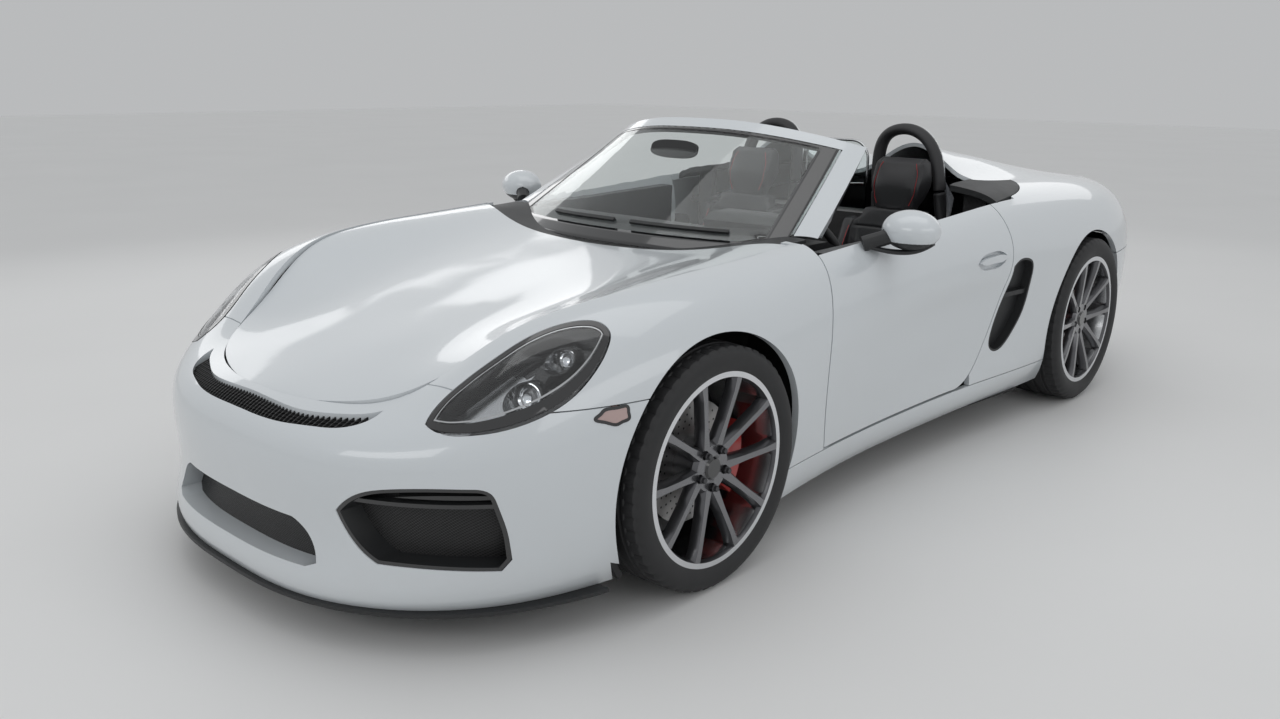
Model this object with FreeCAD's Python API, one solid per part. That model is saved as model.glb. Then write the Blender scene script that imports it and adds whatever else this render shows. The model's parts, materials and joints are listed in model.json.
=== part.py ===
import FreeCAD, Part
import math
import os

os.makedirs("parts", exist_ok=True)
V = FreeCAD.Vector

# Overall sizes in mm. The car faces -Y, +Z is up, +X is its left side.
width = 1801.0
height = 1200.0
wheelbase = 2475.0
front_overhang = 925.0
rear_overhang = 1014.0
front_track = 1526.0
rear_track = 1540.0
overrun = 60.0
far = 3000.0

# Gaps and panel thicknesses
moving_gap = 5.0
seat_gap = 0.3
panel_gap = 3.0
skin = 22.0
lid_skin = 16.0
reach = 150.0
lift = 70.0
lamp_low_share = 0.440
door_skin_inner = 775.0

half_width = width / 2
half_length = (front_overhang + wheelbase + rear_overhang) / 2
axle_front = front_overhang - half_length
axle_rear = axle_front + wheelbase


def along(s):
    """Length position: 0 nose, 1 front axle, 2 rear axle, 3 tail."""
    if s < 1:
        return axle_front - (1 - s) * front_overhang
    if s < 2:
        return axle_front + (s - 1) * wheelbase
    return axle_rear + (s - 2) * rear_overhang


def spot(point_shares):
    """A point given as shares of half width, length position and height."""
    return V(point_shares[0] * half_width, along(point_shares[1]), point_shares[2] * height)

# Side surface: each row is (plan share of half width, length position, heading in degrees from
# sideways: 90 ahead, -90 rearwards), then ten (inset share of half width, share of height) from the
# lower edge over sill, waist and crest to the inner edge
section_shares = [
    ((0.000, 0.000, 90), [
        (.004, .085), (-.030, .120), (.022, .188), (.020, .270), (.008, .350),
        (.016, .412), (.075, .452), (.170, .475), (.270, .498), (.380, .522)]),
    ((0.190, 0.000, 90), [
        (.004, .085), (-.030, .120), (.022, .188), (.020, .270), (.008, .350),
        (.016, .412), (.075, .452), (.170, .475), (.270, .498), (.380, .522)]),
    ((0.390, 0.030, 82), [
        (.006, .085), (-.026, .120), (.022, .190), (.020, .270), (.008, .350),
        (.018, .410), (.075, .444), (.165, .466), (.265, .490), (.370, .515)]),
    ((0.600, 0.115, 64), [
        (.024, .085), (-.008, .120), (.018, .190), (.016, .270), (.008, .350),
        (.018, .412), (.072, .448), (.160, .478), (.260, .510), (.365, .540)]),
    ((0.785, 0.262, 44), [
        (.054, .085), (.016, .122), (.014, .190), (.010, .270), (.004, .350),
        (.014, .428), (.065, .482), (.150, .535), (.250, .578), (.365, .594)]),
    ((0.908, 0.450, 24), [
        (.080, .088), (.040, .125), (.018, .190), (.006, .270), (.000, .360),
        (.010, .448), (.055, .530), (.135, .602), (.240, .634), (.370, .632)]),
    ((0.975, 0.690, 9), [
        (.085, .095), (.046, .138), (.018, .210), (.004, .300), (.000, .400),
        (.008, .495), (.055, .590), (.150, .668), (.270, .678), (.410, .660)]),
    ((0.996, 1.000, 0), [
        (.055, .105), (.030, .160), (.012, .240), (.003, .330), (.000, .430),
        (.006, .530), (.050, .628), (.160, .700), (.290, .700), (.440, .680)]),
    ((0.980, 1.110, 0), [
        (.070, .105), (.040, .155), (.022, .235), (.010, .330), (.000, .430),
        (.004, .535), (.045, .635), (.150, .708), (.280, .712), (.430, .700)]),
    ((0.960, 1.220, 0), [
        (.090, .105), (.050, .150), (.038, .230), (.022, .330), (.005, .430),
        (.000, .535), (.030, .640), (.110, .712), (.220, .725), (.370, .720)]),
    ((0.955, 1.350, 0), [
        (.110, .105), (.055, .150), (.052, .235), (.036, .335), (.018, .470),
        (.000, .540), (.022, .640), (.080, .712), (.165, .735), (.300, .735)]),
    ((0.957, 1.480, 0), [
        (.110, .105), (.050, .152), (.060, .238), (.048, .340), (.034, .490),
        (.000, .545), (.020, .645), (.078, .720), (.160, .745), (.300, .745)]),
    ((0.964, 1.600, 0), [
        (.105, .108), (.040, .155), (.066, .240), (.062, .355), (.040, .485),
        (.000, .550), (.022, .655), (.085, .735), (.170, .760), (.310, .765)]),
    ((0.978, 1.710, 0), [
        (.095, .112), (.030, .160), (.050, .245), (.050, .360), (.030, .490),
        (.000, .555), (.030, .668), (.105, .752), (.200, .778), (.340, .790)]),
    ((0.993, 1.830, 0), [
        (.080, .115), (.030, .170), (.018, .255), (.010, .355), (.002, .460),
        (.002, .570), (.045, .680), (.130, .762), (.240, .780), (.380, .790)]),
    ((1.000, 2.000, 0), [
        (.075, .120), (.035, .185), (.014, .270), (.003, .370), (.000, .475),
        (.006, .585), (.055, .690), (.155, .765), (.275, .780), (.420, .790)]),
    ((0.992, 2.240, -4), [
        (.080, .125), (.040, .190), (.016, .275), (.004, .375), (.000, .480),
        (.006, .585), (.055, .685), (.155, .755), (.275, .770), (.420, .780)]),
    ((0.965, 2.440, -12), [
        (.085, .130), (.045, .195), (.018, .280), (.004, .375), (.000, .480),
        (.008, .580), (.055, .670), (.150, .735), (.265, .757), (.410, .768)]),
    ((0.900, 2.660, -28), [
        (.090, .140), (.045, .200), (.018, .285), (.004, .380), (.000, .480),
        (.010, .570), (.055, .650), (.135, .715), (.240, .745), (.380, .757)]),
    ((0.760, 2.850, -52), [
        (.095, .150), (.050, .210), (.018, .290), (.004, .380), (.002, .470),
        (.014, .555), (.060, .630), (.115, .700), (.210, .735), (.350, .750)]),
    ((0.560, 2.945, -72), [
        (.100, .160), (.050, .220), (.018, .295), (.004, .385), (.004, .470),
        (.020, .545), (.070, .620), (.110, .695), (.200, .730), (.340, .745)]),
    ((0.360, 2.985, -84), [
        (.105, .165), (.050, .225), (.018, .300), (.002, .390), (.004, .470),
        (.024, .540), (.075, .615), (.112, .692), (.200, .728), (.340, .742)]),
    ((0.170, 3.000, -90), [
        (.105, .165), (.050, .225), (.018, .300), (.002, .390), (.004, .470),
        (.024, .540), (.075, .615), (.112, .692), (.200, .728), (.340, .742)]),
    ((0.000, 3.000, -90), [
        (.105, .165), (.050, .225), (.018, .300), (.002, .390), (.004, .470),
        (.024, .540), (.075, .615), (.112, .692), (.200, .728), (.340, .742)]),
]

# Bonnet and rear lid as heights over the plan, from the centre line outwards
bonnet_height_shares = [
    [0.444, 0.433, 0.415, 0.368, 0.302, 0.233, 0.166],
    [0.466, 0.459, 0.455, 0.424, 0.369, 0.308, 0.245],
    [0.494, 0.493, 0.492, 0.483, 0.449, 0.387, 0.321],
    [0.530, 0.532, 0.527, 0.551, 0.562, 0.480, 0.396],
    [0.558, 0.562, 0.562, 0.603, 0.659, 0.577, 0.472],
    [0.584, 0.589, 0.589, 0.619, 0.694, 0.642, 0.543],
    [0.607, 0.611, 0.614, 0.638, 0.705, 0.670, 0.586],
    [0.627, 0.631, 0.635, 0.658, 0.713, 0.680, 0.601],
    [0.647, 0.650, 0.654, 0.673, 0.718, 0.682, 0.600],
    [0.669, 0.671, 0.675, 0.692, 0.725, 0.686, 0.597],
    [0.686, 0.687, 0.688, 0.706, 0.729, 0.690, 0.600],
    [0.698, 0.699, 0.701, 0.718, 0.731, 0.691, 0.609],
    [0.710, 0.713, 0.722, 0.734, 0.730, 0.690, 0.622],
]

lid_height_shares = [
    [0.814, 0.832, 0.895, 0.908, 0.828, 0.776, 0.748, 0.726, 0.705],
    [0.794, 0.813, 0.903, 0.925, 0.821, 0.773, 0.763, 0.735, 0.705],
    [0.777, 0.798, 0.887, 0.905, 0.815, 0.769, 0.771, 0.738, 0.704],
    [0.757, 0.774, 0.859, 0.874, 0.802, 0.768, 0.772, 0.737, 0.702],
    [0.745, 0.761, 0.841, 0.853, 0.798, 0.773, 0.770, 0.735, 0.699],
    [0.741, 0.753, 0.817, 0.825, 0.790, 0.775, 0.767, 0.730, 0.690],
    [0.733, 0.742, 0.793, 0.799, 0.776, 0.768, 0.757, 0.717, 0.673],
    [0.730, 0.736, 0.772, 0.775, 0.763, 0.761, 0.734, 0.691, 0.648],
    [0.723, 0.727, 0.748, 0.749, 0.744, 0.744, 0.690, 0.654, 0.621],
    [0.730, 0.731, 0.738, 0.739, 0.736, 0.730, 0.665, 0.629, 0.597],
    [0.719, 0.714, 0.703, 0.701, 0.703, 0.718, 0.674, 0.624, 0.577],
    [0.763, 0.767, 0.770, 0.775, 0.759, 0.732, 0.685, 0.624, 0.561],
]

# Outlines as shares. Plan: (half width, length position); side view: (length position, height);
# front view: (half width, height)
bonnet_outline_shares = [
    [(0.000, 0.134), (0.111, 0.137), (0.222, 0.157), (0.333, 0.194), (0.416, 0.240), (0.472, 0.294),
     (0.513, 0.359), (0.555, 0.440), (0.616, 0.548), (0.677, 0.656), (0.727, 0.764), (0.757, 0.872),
     (0.772, 1.013), (0.780, 1.094), (0.777, 1.154), (0.768, 1.209)],
    [(0.768, 1.209), (0.666, 1.195), (0.500, 1.177), (0.278, 1.162), (0.000, 1.156)]]
headlamp_outline_shares = [
    [(0.622, 0.240), (0.609, 0.305), (0.629, 0.375), (0.662, 0.445), (0.694, 0.516), (0.735, 0.586),
     (0.782, 0.643), (0.816, 0.666), (0.846, 0.667), (0.863, 0.645), (0.876, 0.589), (0.873, 0.524),
     (0.853, 0.456), (0.820, 0.391), (0.777, 0.332), (0.727, 0.283), (0.672, 0.248), (0.622, 0.240)]]
slot_outline_shares = [
    [(0.000, 0.106), (0.150, 0.104), (0.260, 0.117), (0.359, 0.154), (0.439, 0.197), (0.465, 0.220)],
    [(0.465, 0.220), (0.462, 0.180), (0.425, 0.134), (0.331, 0.091), (0.234, 0.064), (0.120, 0.051),
     (0.000, 0.050)]]
centre_intake_outline_shares = [
    [(0.000, 0.252), (0.291, 0.252)], [(0.291, 0.252), (0.333, 0.237), (0.389, 0.171)],
    [(0.389, 0.171), (0.355, 0.160)], [(0.355, 0.160), (0.000, 0.158)]]
side_intake_outline_shares = [
    [(0.449, 0.291), (0.475, 0.312), (0.530, 0.338), (0.600, 0.351), (0.700, 0.357), (0.770, 0.356)],
    [(0.770, 0.356), (0.795, 0.347), (0.806, 0.322), (0.817, 0.265), (0.819, 0.205)],
    [(0.819, 0.205), (0.801, 0.181)], [(0.801, 0.181), (0.681, 0.188), (0.557, 0.191)],
    [(0.557, 0.191), (0.523, 0.207), (0.449, 0.291)]]
door_outline_shares = [
    [(1.235, 0.800), (1.224, 0.667), (1.214, 0.567), (1.210, 0.467), (1.216, 0.333), (1.229, 0.204)],
    [(1.229, 0.204), (1.566, 0.204)],
    [(1.566, 0.204), (1.605, 0.218), (1.635, 0.263), (1.657, 0.329), (1.674, 0.417), (1.684, 0.500),
     (1.692, 0.567), (1.694, 0.617), (1.690, 0.667), (1.672, 0.800)],
    [(1.672, 0.800), (1.235, 0.800)]]
quarter_intake_outline_shares = [
    [(1.699, 0.553), (1.712, 0.568), (1.744, 0.570), (1.759, 0.556), (1.763, 0.500), (1.757, 0.400),
     (1.734, 0.328), (1.708, 0.287), (1.690, 0.282), (1.674, 0.300), (1.6735, 0.355), (1.6865, 0.444),
     (1.699, 0.553)]]
lid_outline_shares = [
    [(0.000, 1.777), (0.577, 1.777)],
    [(0.577, 1.777), (0.650, 1.801), (0.686, 1.841), (0.711, 1.922), (0.720, 2.007), (0.714, 2.204),
     (0.691, 2.401), (0.653, 2.579), (0.589, 2.700), (0.489, 2.756), (0.333, 2.788), (0.167, 2.801),
     (0.000, 2.803)]]
tail_lamp_outline_shares = [
    [(0.620, 0.535), (0.640, 0.605), (0.720, 0.628), (0.990, 0.640)], [(0.990, 0.640), (0.990, 0.560)],
    [(0.990, 0.560), (0.900, 0.530), (0.800, 0.515), (0.660, 0.515)], [(0.660, 0.515), (0.620, 0.535)]]
quarter_trim_outline_shares = [
    [(0.859, 1.703), (0.843, 1.764), (0.808, 1.821), (0.746, 1.858), (0.700, 1.874)],
    [(0.700, 1.874), (0.600, 1.790)], [(0.600, 1.790), (0.645, 1.703)], [(0.645, 1.703), (0.859, 1.703)]]
handle_outline_shares = [
    [(1.587, 0.586), (1.600, 0.604), (1.631, 0.613), (1.662, 0.607), (1.675, 0.590), (1.662, 0.570),
     (1.631, 0.562), (1.600, 0.568), (1.587, 0.586)]]
handle_bar_outline_shares = [
    [(1.591, 0.588), (1.600, 0.596), (1.631, 0.601), (1.662, 0.599), (1.671, 0.591), (1.662, 0.583),
     (1.631, 0.581), (1.600, 0.582), (1.591, 0.588)]]

def clamped(count):
    spans = count - 3
    knots = [i / spans for i in range(spans + 1)]
    return knots, [4] + [1] * (spans - 1) + [4]


def greville(count):
    knots, mults = clamped(count)
    full = [k for k, m in zip(knots, mults) for i in range(m)]
    return [sum(full[i + 1:i + 4]) / 3 for i in range(count)]


def patch(rows):
    """Cubic surface over a net of control points."""
    surface = Part.BSplineSurface()
    ku, mu = clamped(len(rows))
    kv, mv = clamped(len(rows[0]))
    surface.buildFromPolesMultsKnots(rows, mu, mv, ku, kv, False, False, 3, 3)
    return surface


def shifted(rows, depth, side=1):
    """The same net moved inwards along the surface normals by depth."""
    surface = patch(rows)
    us = greville(len(rows))
    vs = greville(len(rows[0]))
    return [[p - surface.normal(u, v) * (side * depth) for v, p in zip(vs, row)] for u, row in zip(us, rows)]


def ring_row(station, flip):
    (x, s, heading), pairs = station
    angle = math.radians(heading)
    row = []
    for inset, z in pairs:
        px = (x - inset * math.cos(angle)) * half_width if x else 0
        py = along(s) + inset * half_width * math.sin(angle)
        row.append(V(flip * px, py, z * height))
    return row


stations = len(section_shares)
front_ring = [ring_row(s, -1) for s in section_shares[:0:-1]] + [ring_row(s, 1) for s in section_shares]
rear_ring = [ring_row(s, 1) for s in section_shares[:-1]] + [ring_row(s, -1) for s in section_shares[::-1]]


def solid_between(outer, inner):
    """Closed solid between two surfaces with the same edges' layout."""
    u0, u1, v0, v1 = outer.bounds()
    pairs = [(outer.uIso(u), inner.uIso(u)) for u in (u0, u1)]
    pairs += [(outer.vIso(v), inner.vIso(v)) for v in (v0, v1)]
    faces = [outer.toShape(), inner.toShape()]
    faces += [Part.makeRuledSurface(a.toShape(), b.toShape()) for a, b in pairs]
    shell = Part.Shell(faces)
    shell.sewShape()
    body = Part.Solid(shell)
    if body.Volume < 0:
        body.reverse()
    return body


def slab(rows, top, bottom, span=None, rise=None, side=1):
    """Solid between two depths below a surface, over part of its length (u) and height (v)."""
    outer = patch(shifted(rows, top, side) if top else rows)
    inner = patch(shifted(rows, bottom, side))
    u0, u1 = span if span else (0, 1)
    v0, v1 = rise if rise else (0, 1)
    for surface in (outer, inner):
        surface.segment(u0, u1, v0, v1)
    return solid_between(outer, inner)


def front_span(a, b):
    """Range of the front ring between two stations of the left side, counted from the nose."""
    return ((stations - 2 + a) / (2 * stations - 4), (stations - 2 + b) / (2 * stations - 4))


def rear_span(a, b):
    return ((a - 1) / (2 * stations - 4), (b - 1) / (2 * stations - 4))


def mirrored(shape):
    return shape.mirror(V(0, 0, 0), V(1, 0, 0))


def both(shape):
    return [shape, mirrored(shape)]


def run_curve(points):
    if len(points) == 2:
        return Part.LineSegment(points[0], points[1])
    curve = Part.BSplineCurve()
    curve.interpolate(points)
    return curve


def grown(runs, gap):
    """Outline of joined runs of plane points (x, y), moved outwards by gap."""
    flat = [p for run in runs for p in run[:-1]]
    area = sum(a.x * b.y - b.x * a.y for a, b in zip(flat, flat[1:] + flat[:1]))
    turn = 1 if area > 0 else -1
    ends = []
    for run in runs:
        curve = run_curve(run)
        ends.append([curve.tangent(curve.parameter(p))[0].normalize() for p in run])
    moved = []
    for i, run in enumerate(runs):
        new = []
        for j, p in enumerate(run):
            before = after = ends[i][j]
            if j == 0:
                before = ends[i - 1][-1]
            if j == len(run) - 1:
                after = ends[(i + 1) % len(runs)][0]
            n1 = V(before.y, -before.x, 0) * turn
            n2 = V(after.y, -after.x, 0) * turn
            new.append(p + (n1 + n2) * (gap / (1 + max(n1.dot(n2), -half))))
        moved.append(new)
    return moved


half = 0.5


def prism(runs, plane, low, high, gap=0):
    """Outline drawn in plan ("z"), side view ("x") or front view ("y"), pushed through from low to high."""
    if gap:
        runs = grown(runs, gap)
    place = {
        "z": lambda p: V(p.x, p.y, low),
        "x": lambda p: V(low, p.x, p.y),
        "y": lambda p: V(p.x, low, p.y),
    }[plane]
    push = {"z": V(0, 0, high - low), "x": V(high - low, 0, 0), "y": V(0, high - low, 0)}[plane]
    edges = [run_curve([place(p) for p in run]).toShape() for run in runs]
    return Part.Face(Part.Wire(edges)).extrude(push)


def plan_runs(runs):
    return [[V(x * half_width, along(s), 0) for x, s in run] for run in runs]


def side_runs(runs):
    return [[V(along(s), z * height, 0) for s, z in run] for run in runs]


def front_runs(runs):
    return [[V(x * half_width, z * height, 0) for x, z in run] for run in runs]


def centred(runs):
    """Closes a half outline that starts and ends on the centre line with its mirror image."""
    full = list(runs)
    first = runs[0]
    last = runs[-1]
    back = [[V(-p.x, p.y, 0) for p in run[::-1]] for run in runs[::-1]]
    if len(runs) == 1:
        return [first + back[0][1:]]
    full = [back[-1][:-1] + first] + full[1:-1] + [last + back[0][1:]] + back[1:-1]
    return full


def box(x0, x1, y0, y1, z0, z1):
    return Part.makeBox(x1 - x0, y1 - y0, z1 - z0, V(x0, y0, z0))


def axle_cylinder(y, z, radius, x0, x1):
    return Part.makeCylinder(radius, x1 - x0, V(x0, y, z), V(1, 0, 0))


def fuse(shapes):
    body = shapes[0]
    if len(shapes) > 1:
        body = body.multiFuse(shapes[1:])
    return body


def cut(shape, tools):
    for tool in tools:
        shape = shape.cut(tool)
    return shape


def solids(shape, least=0.0):
    """Solids of a shape above a least volume, the largest first."""
    found = sorted(shape.Solids, key=lambda s: -s.Volume)
    return [s for s in found if s.Volume > least]


def lowest(shape):
    return min(shape.Solids, key=lambda s: s.CenterOfMass.z)


def save(name, shapes):
    pieces = [s for shape in shapes for s in shape.Solids]
    Part.makeCompound(pieces).exportStep("parts/" + name + ".step")


# Wheels and arches
tyre_radius_front = 336.0
tyre_radius_rear = 347.0
tyre_width_front = 235.0
tyre_width_rear = 265.0
rim_radius = 266.0
arch_clearance = 34.0
arch_radius_front = tyre_radius_front + arch_clearance
arch_radius_rear = tyre_radius_rear + arch_clearance
arch_depth = 82.0
bay_clearance = 22.0
bay_radius_front = arch_radius_front + bay_clearance
bay_radius_rear = arch_radius_rear + bay_clearance
wheel_bay_inner = 400.0
rear_bay_inner = 520.0
front_axle = V(0, axle_front, tyre_radius_front)
rear_axle = V(0, axle_rear, tyre_radius_rear)

bonnet_runs = centred(plan_runs(bonnet_outline_shares))
lid_runs = centred(plan_runs(lid_outline_shares))
headlamp_runs = plan_runs(headlamp_outline_shares)
door_runs = side_runs(door_outline_shares)
quarter_intake_runs = side_runs(quarter_intake_outline_shares)
quarter_trim_runs = plan_runs(quarter_trim_outline_shares)
handle_runs = side_runs(handle_outline_shares)
handle_bar_runs = side_runs(handle_bar_outline_shares)
centre_intake_runs = centred(front_runs(centre_intake_outline_shares))
side_intake_runs = front_runs(side_intake_outline_shares)
slot_runs = centred(plan_runs(slot_outline_shares))
tail_lamp_runs = front_runs(tail_lamp_outline_shares)

nose_y = along(0)
lamp_low = lamp_low_share * height
tail_y = along(3)
top_z = 2 * height
bumper_joint_y = along(0.332)
bumper_joint_z = 0.490 * height
sill_joint_z = 0.196 * height
rear_joint_y = along(2.52)
rear_joint_z = 0.500 * height
deck_joint_z = 0.665 * height
deck_joint_x = 0.620 * half_width
cabin_front_y = along(1.24)
cabin_rear_y = along(1.762)
scuttle_y = along(1.190)
scuttle_half = 0.745 * half_width
beam_low = 0.375 * height
beam_high = 0.415 * height
slot_low = beam_high + seat_gap
intake_depth = 220.0


def height_net(table, half_x, y0, y1):
    """Control net of a height field, mirrored about the centre line, from left to right."""
    half_row = len(table[0])
    count = 2 * half_row - 1
    xs = [half_x * (1 - 2 * g) for g in greville(count)]
    ys = [y0 + (y1 - y0) * g for g in greville(len(table))]
    return [[V(x, y, row[abs(j - half_row + 1)] * height) for j, x in enumerate(xs)]
            for y, row in zip(ys, table)]


deck_half = 0.955 * half_width
bonnet_net_front_y = along(0.0725)
bonnet_net_rear_y = along(1.2956)
lid_net_front_y = along(1.7200)
lid_net_rear_y = along(2.9536)
bonnet_net = height_net(bonnet_height_shares, deck_half, bonnet_net_front_y, bonnet_net_rear_y)
lid_net = height_net(lid_height_shares, deck_half, lid_net_front_y, lid_net_rear_y)


def arch_cutter(axle, radius, bay_radius, inner_x):
    """Wheel bay: a wide drum inboard, a closer one through the panel at the lip."""
    lip_x = half_width - arch_depth
    drum = axle_cylinder(axle.y, axle.z, radius, inner_x, half_width + reach)
    bay = axle_cylinder(axle.y, axle.z, bay_radius, inner_x, lip_x)
    foot = box(inner_x, half_width + reach, axle.y - radius, axle.y + radius, -overrun, axle.z / 3)
    return fuse([drum, bay, foot])


front_arch = arch_cutter(front_axle, arch_radius_front, bay_radius_front, wheel_bay_inner)
rear_arch = arch_cutter(rear_axle, arch_radius_rear, bay_radius_rear, rear_bay_inner)

headlamp_hole = prism(headlamp_runs, "z", lamp_low, height, panel_gap)
bonnet_hole = prism(bonnet_runs, "z", 0, top_z, moving_gap)
lid_hole = prism(lid_runs, "z", rear_joint_z, top_z, moving_gap)
door_hole = prism(door_runs, "x", 0, half_width + reach, moving_gap)

# Parts of the rings that each panel is cut from, in stations
bumper_span = front_span(-7.4, 7.4)
mesh_span = front_span(-5.4, 5.4)
wing_span = front_span(2.0, 10.4)
skirt_span = front_span(6.6, 15.4)
door_span = front_span(7.0, 15.0)
handle_span = front_span(9.0, 14.0)
quarter_span = rear_span(12.2, 21.6)
rear_skin_span = rear_span(16.2, 29.8)

# Front bumper: skin of the nose with its openings
bumper_zone = box(-half_width - reach, half_width + reach, nose_y - reach, bumper_joint_y, 0, height).fuse(
    box(-half_width - reach, half_width + reach, nose_y - reach, axle_front, 0, bumper_joint_z))
front_bumper = slab(front_ring, 0, skin, bumper_span).common(bumper_zone)
front_bumper = cut(front_bumper, both(headlamp_hole) + both(front_arch) + [bonnet_hole])
front_bumper = cut(front_bumper, [
    prism(centre_intake_runs, "y", nose_y - reach, nose_y + intake_depth),
    prism(slot_runs, "z", slot_low, top_z)])
side_intake_hole = prism(side_intake_runs, "y", nose_y - reach, nose_y + 2 * intake_depth)
front_bumper = cut(front_bumper, both(side_intake_hole))
recess_wall = 5.0
recess_depth = 56.0
recess = slab(front_ring, skin / 2, recess_depth, mesh_span).common(
    prism(centre_intake_runs, "y", nose_y - reach, nose_y + intake_depth, recess_wall).cut(
        prism(centre_intake_runs, "y", nose_y - reach, nose_y + intake_depth)))
front_bumper = solids(solids(front_bumper)[0].fuse(recess))[0]

# Front wings, from the headlamps to the doors
bumper_clear = box(0, half_width + reach, nose_y - reach, bumper_joint_y + panel_gap, 0, height).fuse(
    box(0, half_width + reach, nose_y - reach, axle_front, 0, bumper_joint_z + panel_gap))
wing_rear = box(0, half_width + reach, cabin_front_y, tail_y, 0, height)
wing = slab(front_ring, 0, skin, wing_span)
wing = cut(wing, [bumper_clear, headlamp_hole, bonnet_hole, front_arch, door_hole, wing_rear,
                  box(0, scuttle_half, scuttle_y, axle_rear, 0, top_z),
                  box(0, half_width + reach, nose_y, axle_rear, 0, sill_joint_z + panel_gap)])
front_fender_left = solids(wing)[0]

# Side skirts under the doors
skirt = slab(front_ring, 0, skin, skirt_span).common(
    box(0, half_width + reach, axle_front, axle_rear, 0, sill_joint_z))
skirt = cut(skirt, [front_arch, rear_arch])
side_skirt_left = solids(skirt)[0]

# Doors: thick shells whose inner face is flat
door_depth = 104.0
door = slab(front_ring, 0, door_depth, door_span).common(
    prism(door_runs, "x", door_skin_inner, half_width + reach))
handle_depth = 15.0
handle_gap = 1.0
handle_front_share = 1.591
handle_rear_share = 1.671
handle_lift = 9.0
handle_post = 24.0
handle_dish = slab(front_ring, -lift, handle_depth, handle_span).common(
    prism(handle_runs, "x", door_skin_inner, half_width + reach))
door = solids(door)[0].cut(handle_dish)
handle_zone = prism(handle_bar_runs, "x", door_skin_inner, half_width + reach)
handle_bar = slab(front_ring, -handle_lift, handle_gap, handle_span).common(handle_zone)
handle_ends = slab(front_ring, 0, handle_depth + skin, handle_span).common(handle_zone).cut(
    box(0, half_width + reach, along(handle_front_share) + handle_post,
        along(handle_rear_share) - handle_post, 0, top_z))
door_left = solids(fuse([door, handle_bar, handle_ends]))[0]

# Rear quarters with the air intake and the wheel arch
quarter = slab(rear_ring, 0, skin, quarter_span)
rear_zone = box(0, half_width + reach, axle_rear, tail_y + reach, 0, rear_joint_z + panel_gap).fuse(
    box(0, deck_joint_x, rear_joint_y - panel_gap, tail_y + reach, 0, height))
quarter = cut(quarter, [
    door_hole, lid_hole, rear_arch, rear_zone,
    box(0, half_width + reach, nose_y, rear_joint_y, 0, sill_joint_z + panel_gap),
    box(0, door_skin_inner, nose_y, cabin_rear_y, 0, top_z),
    box(0, scuttle_half, nose_y, cabin_rear_y + overrun, 0, top_z),
    prism(quarter_intake_runs, "x", 0, half_width + reach),
    prism(quarter_trim_runs, "z", deck_joint_z, top_z, panel_gap),
    prism(tail_lamp_runs, "y", rear_joint_y, tail_y + reach, panel_gap)])
rear_quarter_left = solids(quarter)[0]

# Rear bumper and the deck edge above it
rear_skin = slab(rear_ring, 0, skin, rear_skin_span)
spoiler_half = deck_joint_x - panel_gap
rear_low = rear_skin.common(
    box(-half_width - reach, half_width + reach, axle_rear, tail_y + reach, 0, rear_joint_z).fuse(
        box(-spoiler_half, spoiler_half, rear_joint_y, tail_y + reach, 0, deck_joint_z)))
tail_lamp_hole = prism(tail_lamp_runs, "y", rear_joint_y, tail_y + reach, panel_gap)
rear_low = cut(rear_low, both(rear_arch) + both(tail_lamp_hole))
rear_bumper = solids(rear_low)[0]
rear_spoiler = rear_skin.common(
    box(-spoiler_half, spoiler_half, rear_joint_y, tail_y + reach, deck_joint_z + panel_gap, height))
rear_spoiler = solids(rear_spoiler.cut(lid_hole))[0]

# Bonnet and rear lid
bonnet = solids(slab(bonnet_net, 0, lid_skin, side=1).common(prism(bonnet_runs, "z", 0, top_z)))[0]
rear_lid = solids(slab(lid_net, 0, lid_skin, side=1).common(prism(lid_runs, "z", 0, top_z)))[0]


# Structure under the panels
floor_bottom = 130.0
floor_thick = 28.0
wall = 18.0
beam_depth = 90.0
sill_height = 300.0
door_sweep = 36.0
foot_wide = 14.0
post_rear_y = along(1.206)
post_front_y = along(1.160)
shelf_top = 742.0
shelf_thick = 26.0
trunk_floor = 210.0
trunk_half = wheel_bay_inner - seat_gap
trunk_front_y = along(0.40)
trunk_rear_y = along(1.150)
bulkhead_y = along(1.195)
rear_wall_y = along(1.722)
rear_wall_thick = 36.0
rear_trunk_y = along(2.26)
rear_trunk_end = along(2.74)
rear_trunk_floor = 395.0
rear_rail_half = rear_bay_inner - seat_gap
tub_half = 0.768 * half_width
post_inner = 0.75 * half_width
tub_top = 0.660 * height
tray_thick = 20.0
sill_width = 100.0
sill_end_y = along(1.800)
hoop_shelf_y = along(1.774)
front_shelf_y = along(0.700)
rear_shelf_y = along(1.775)
rear_beam_y = along(2.500)
rear_tray_y = along(2.450)
cowl_rear_y = along(1.262)
post_top = 0.800 * height
rear_foot_y = along(1.545)
wall_top = 0.560 * height

tub_end_y = rear_wall_y + rear_wall_thick
sill_inner = tub_half - sill_width
post_foot_x = tub_half - 2 * rear_wall_thick

# Cabin tub: floor, bulkheads, sills and posts
tub_parts = [
    box(-tub_half, tub_half, bulkhead_y, tub_end_y, floor_bottom, floor_bottom + floor_thick),
    box(-tub_half, tub_half, bulkhead_y, bulkhead_y + wall, floor_bottom, tub_top),
    box(-tub_half, tub_half, rear_wall_y, tub_end_y, floor_bottom, tub_top),
    box(-tub_half, tub_half, trunk_rear_y, bulkhead_y + wall, tub_top - wall, tub_top),
    box(-tub_half, tub_half, rear_wall_y, hoop_shelf_y, tub_top - wall, tub_top),
]
for part in (
        box(sill_inner, door_skin_inner - door_sweep, post_front_y, sill_end_y, floor_bottom, sill_height),
        box(sill_inner, half_width, post_front_y, sill_end_y, floor_bottom, sill_joint_z - wall),
        box(trunk_half, half_width, post_front_y, post_rear_y, floor_bottom, tub_top),
        box(post_foot_x, post_inner + wall, rear_wall_y, tub_end_y, floor_bottom, post_top)):
    tub_parts += both(part)
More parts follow.
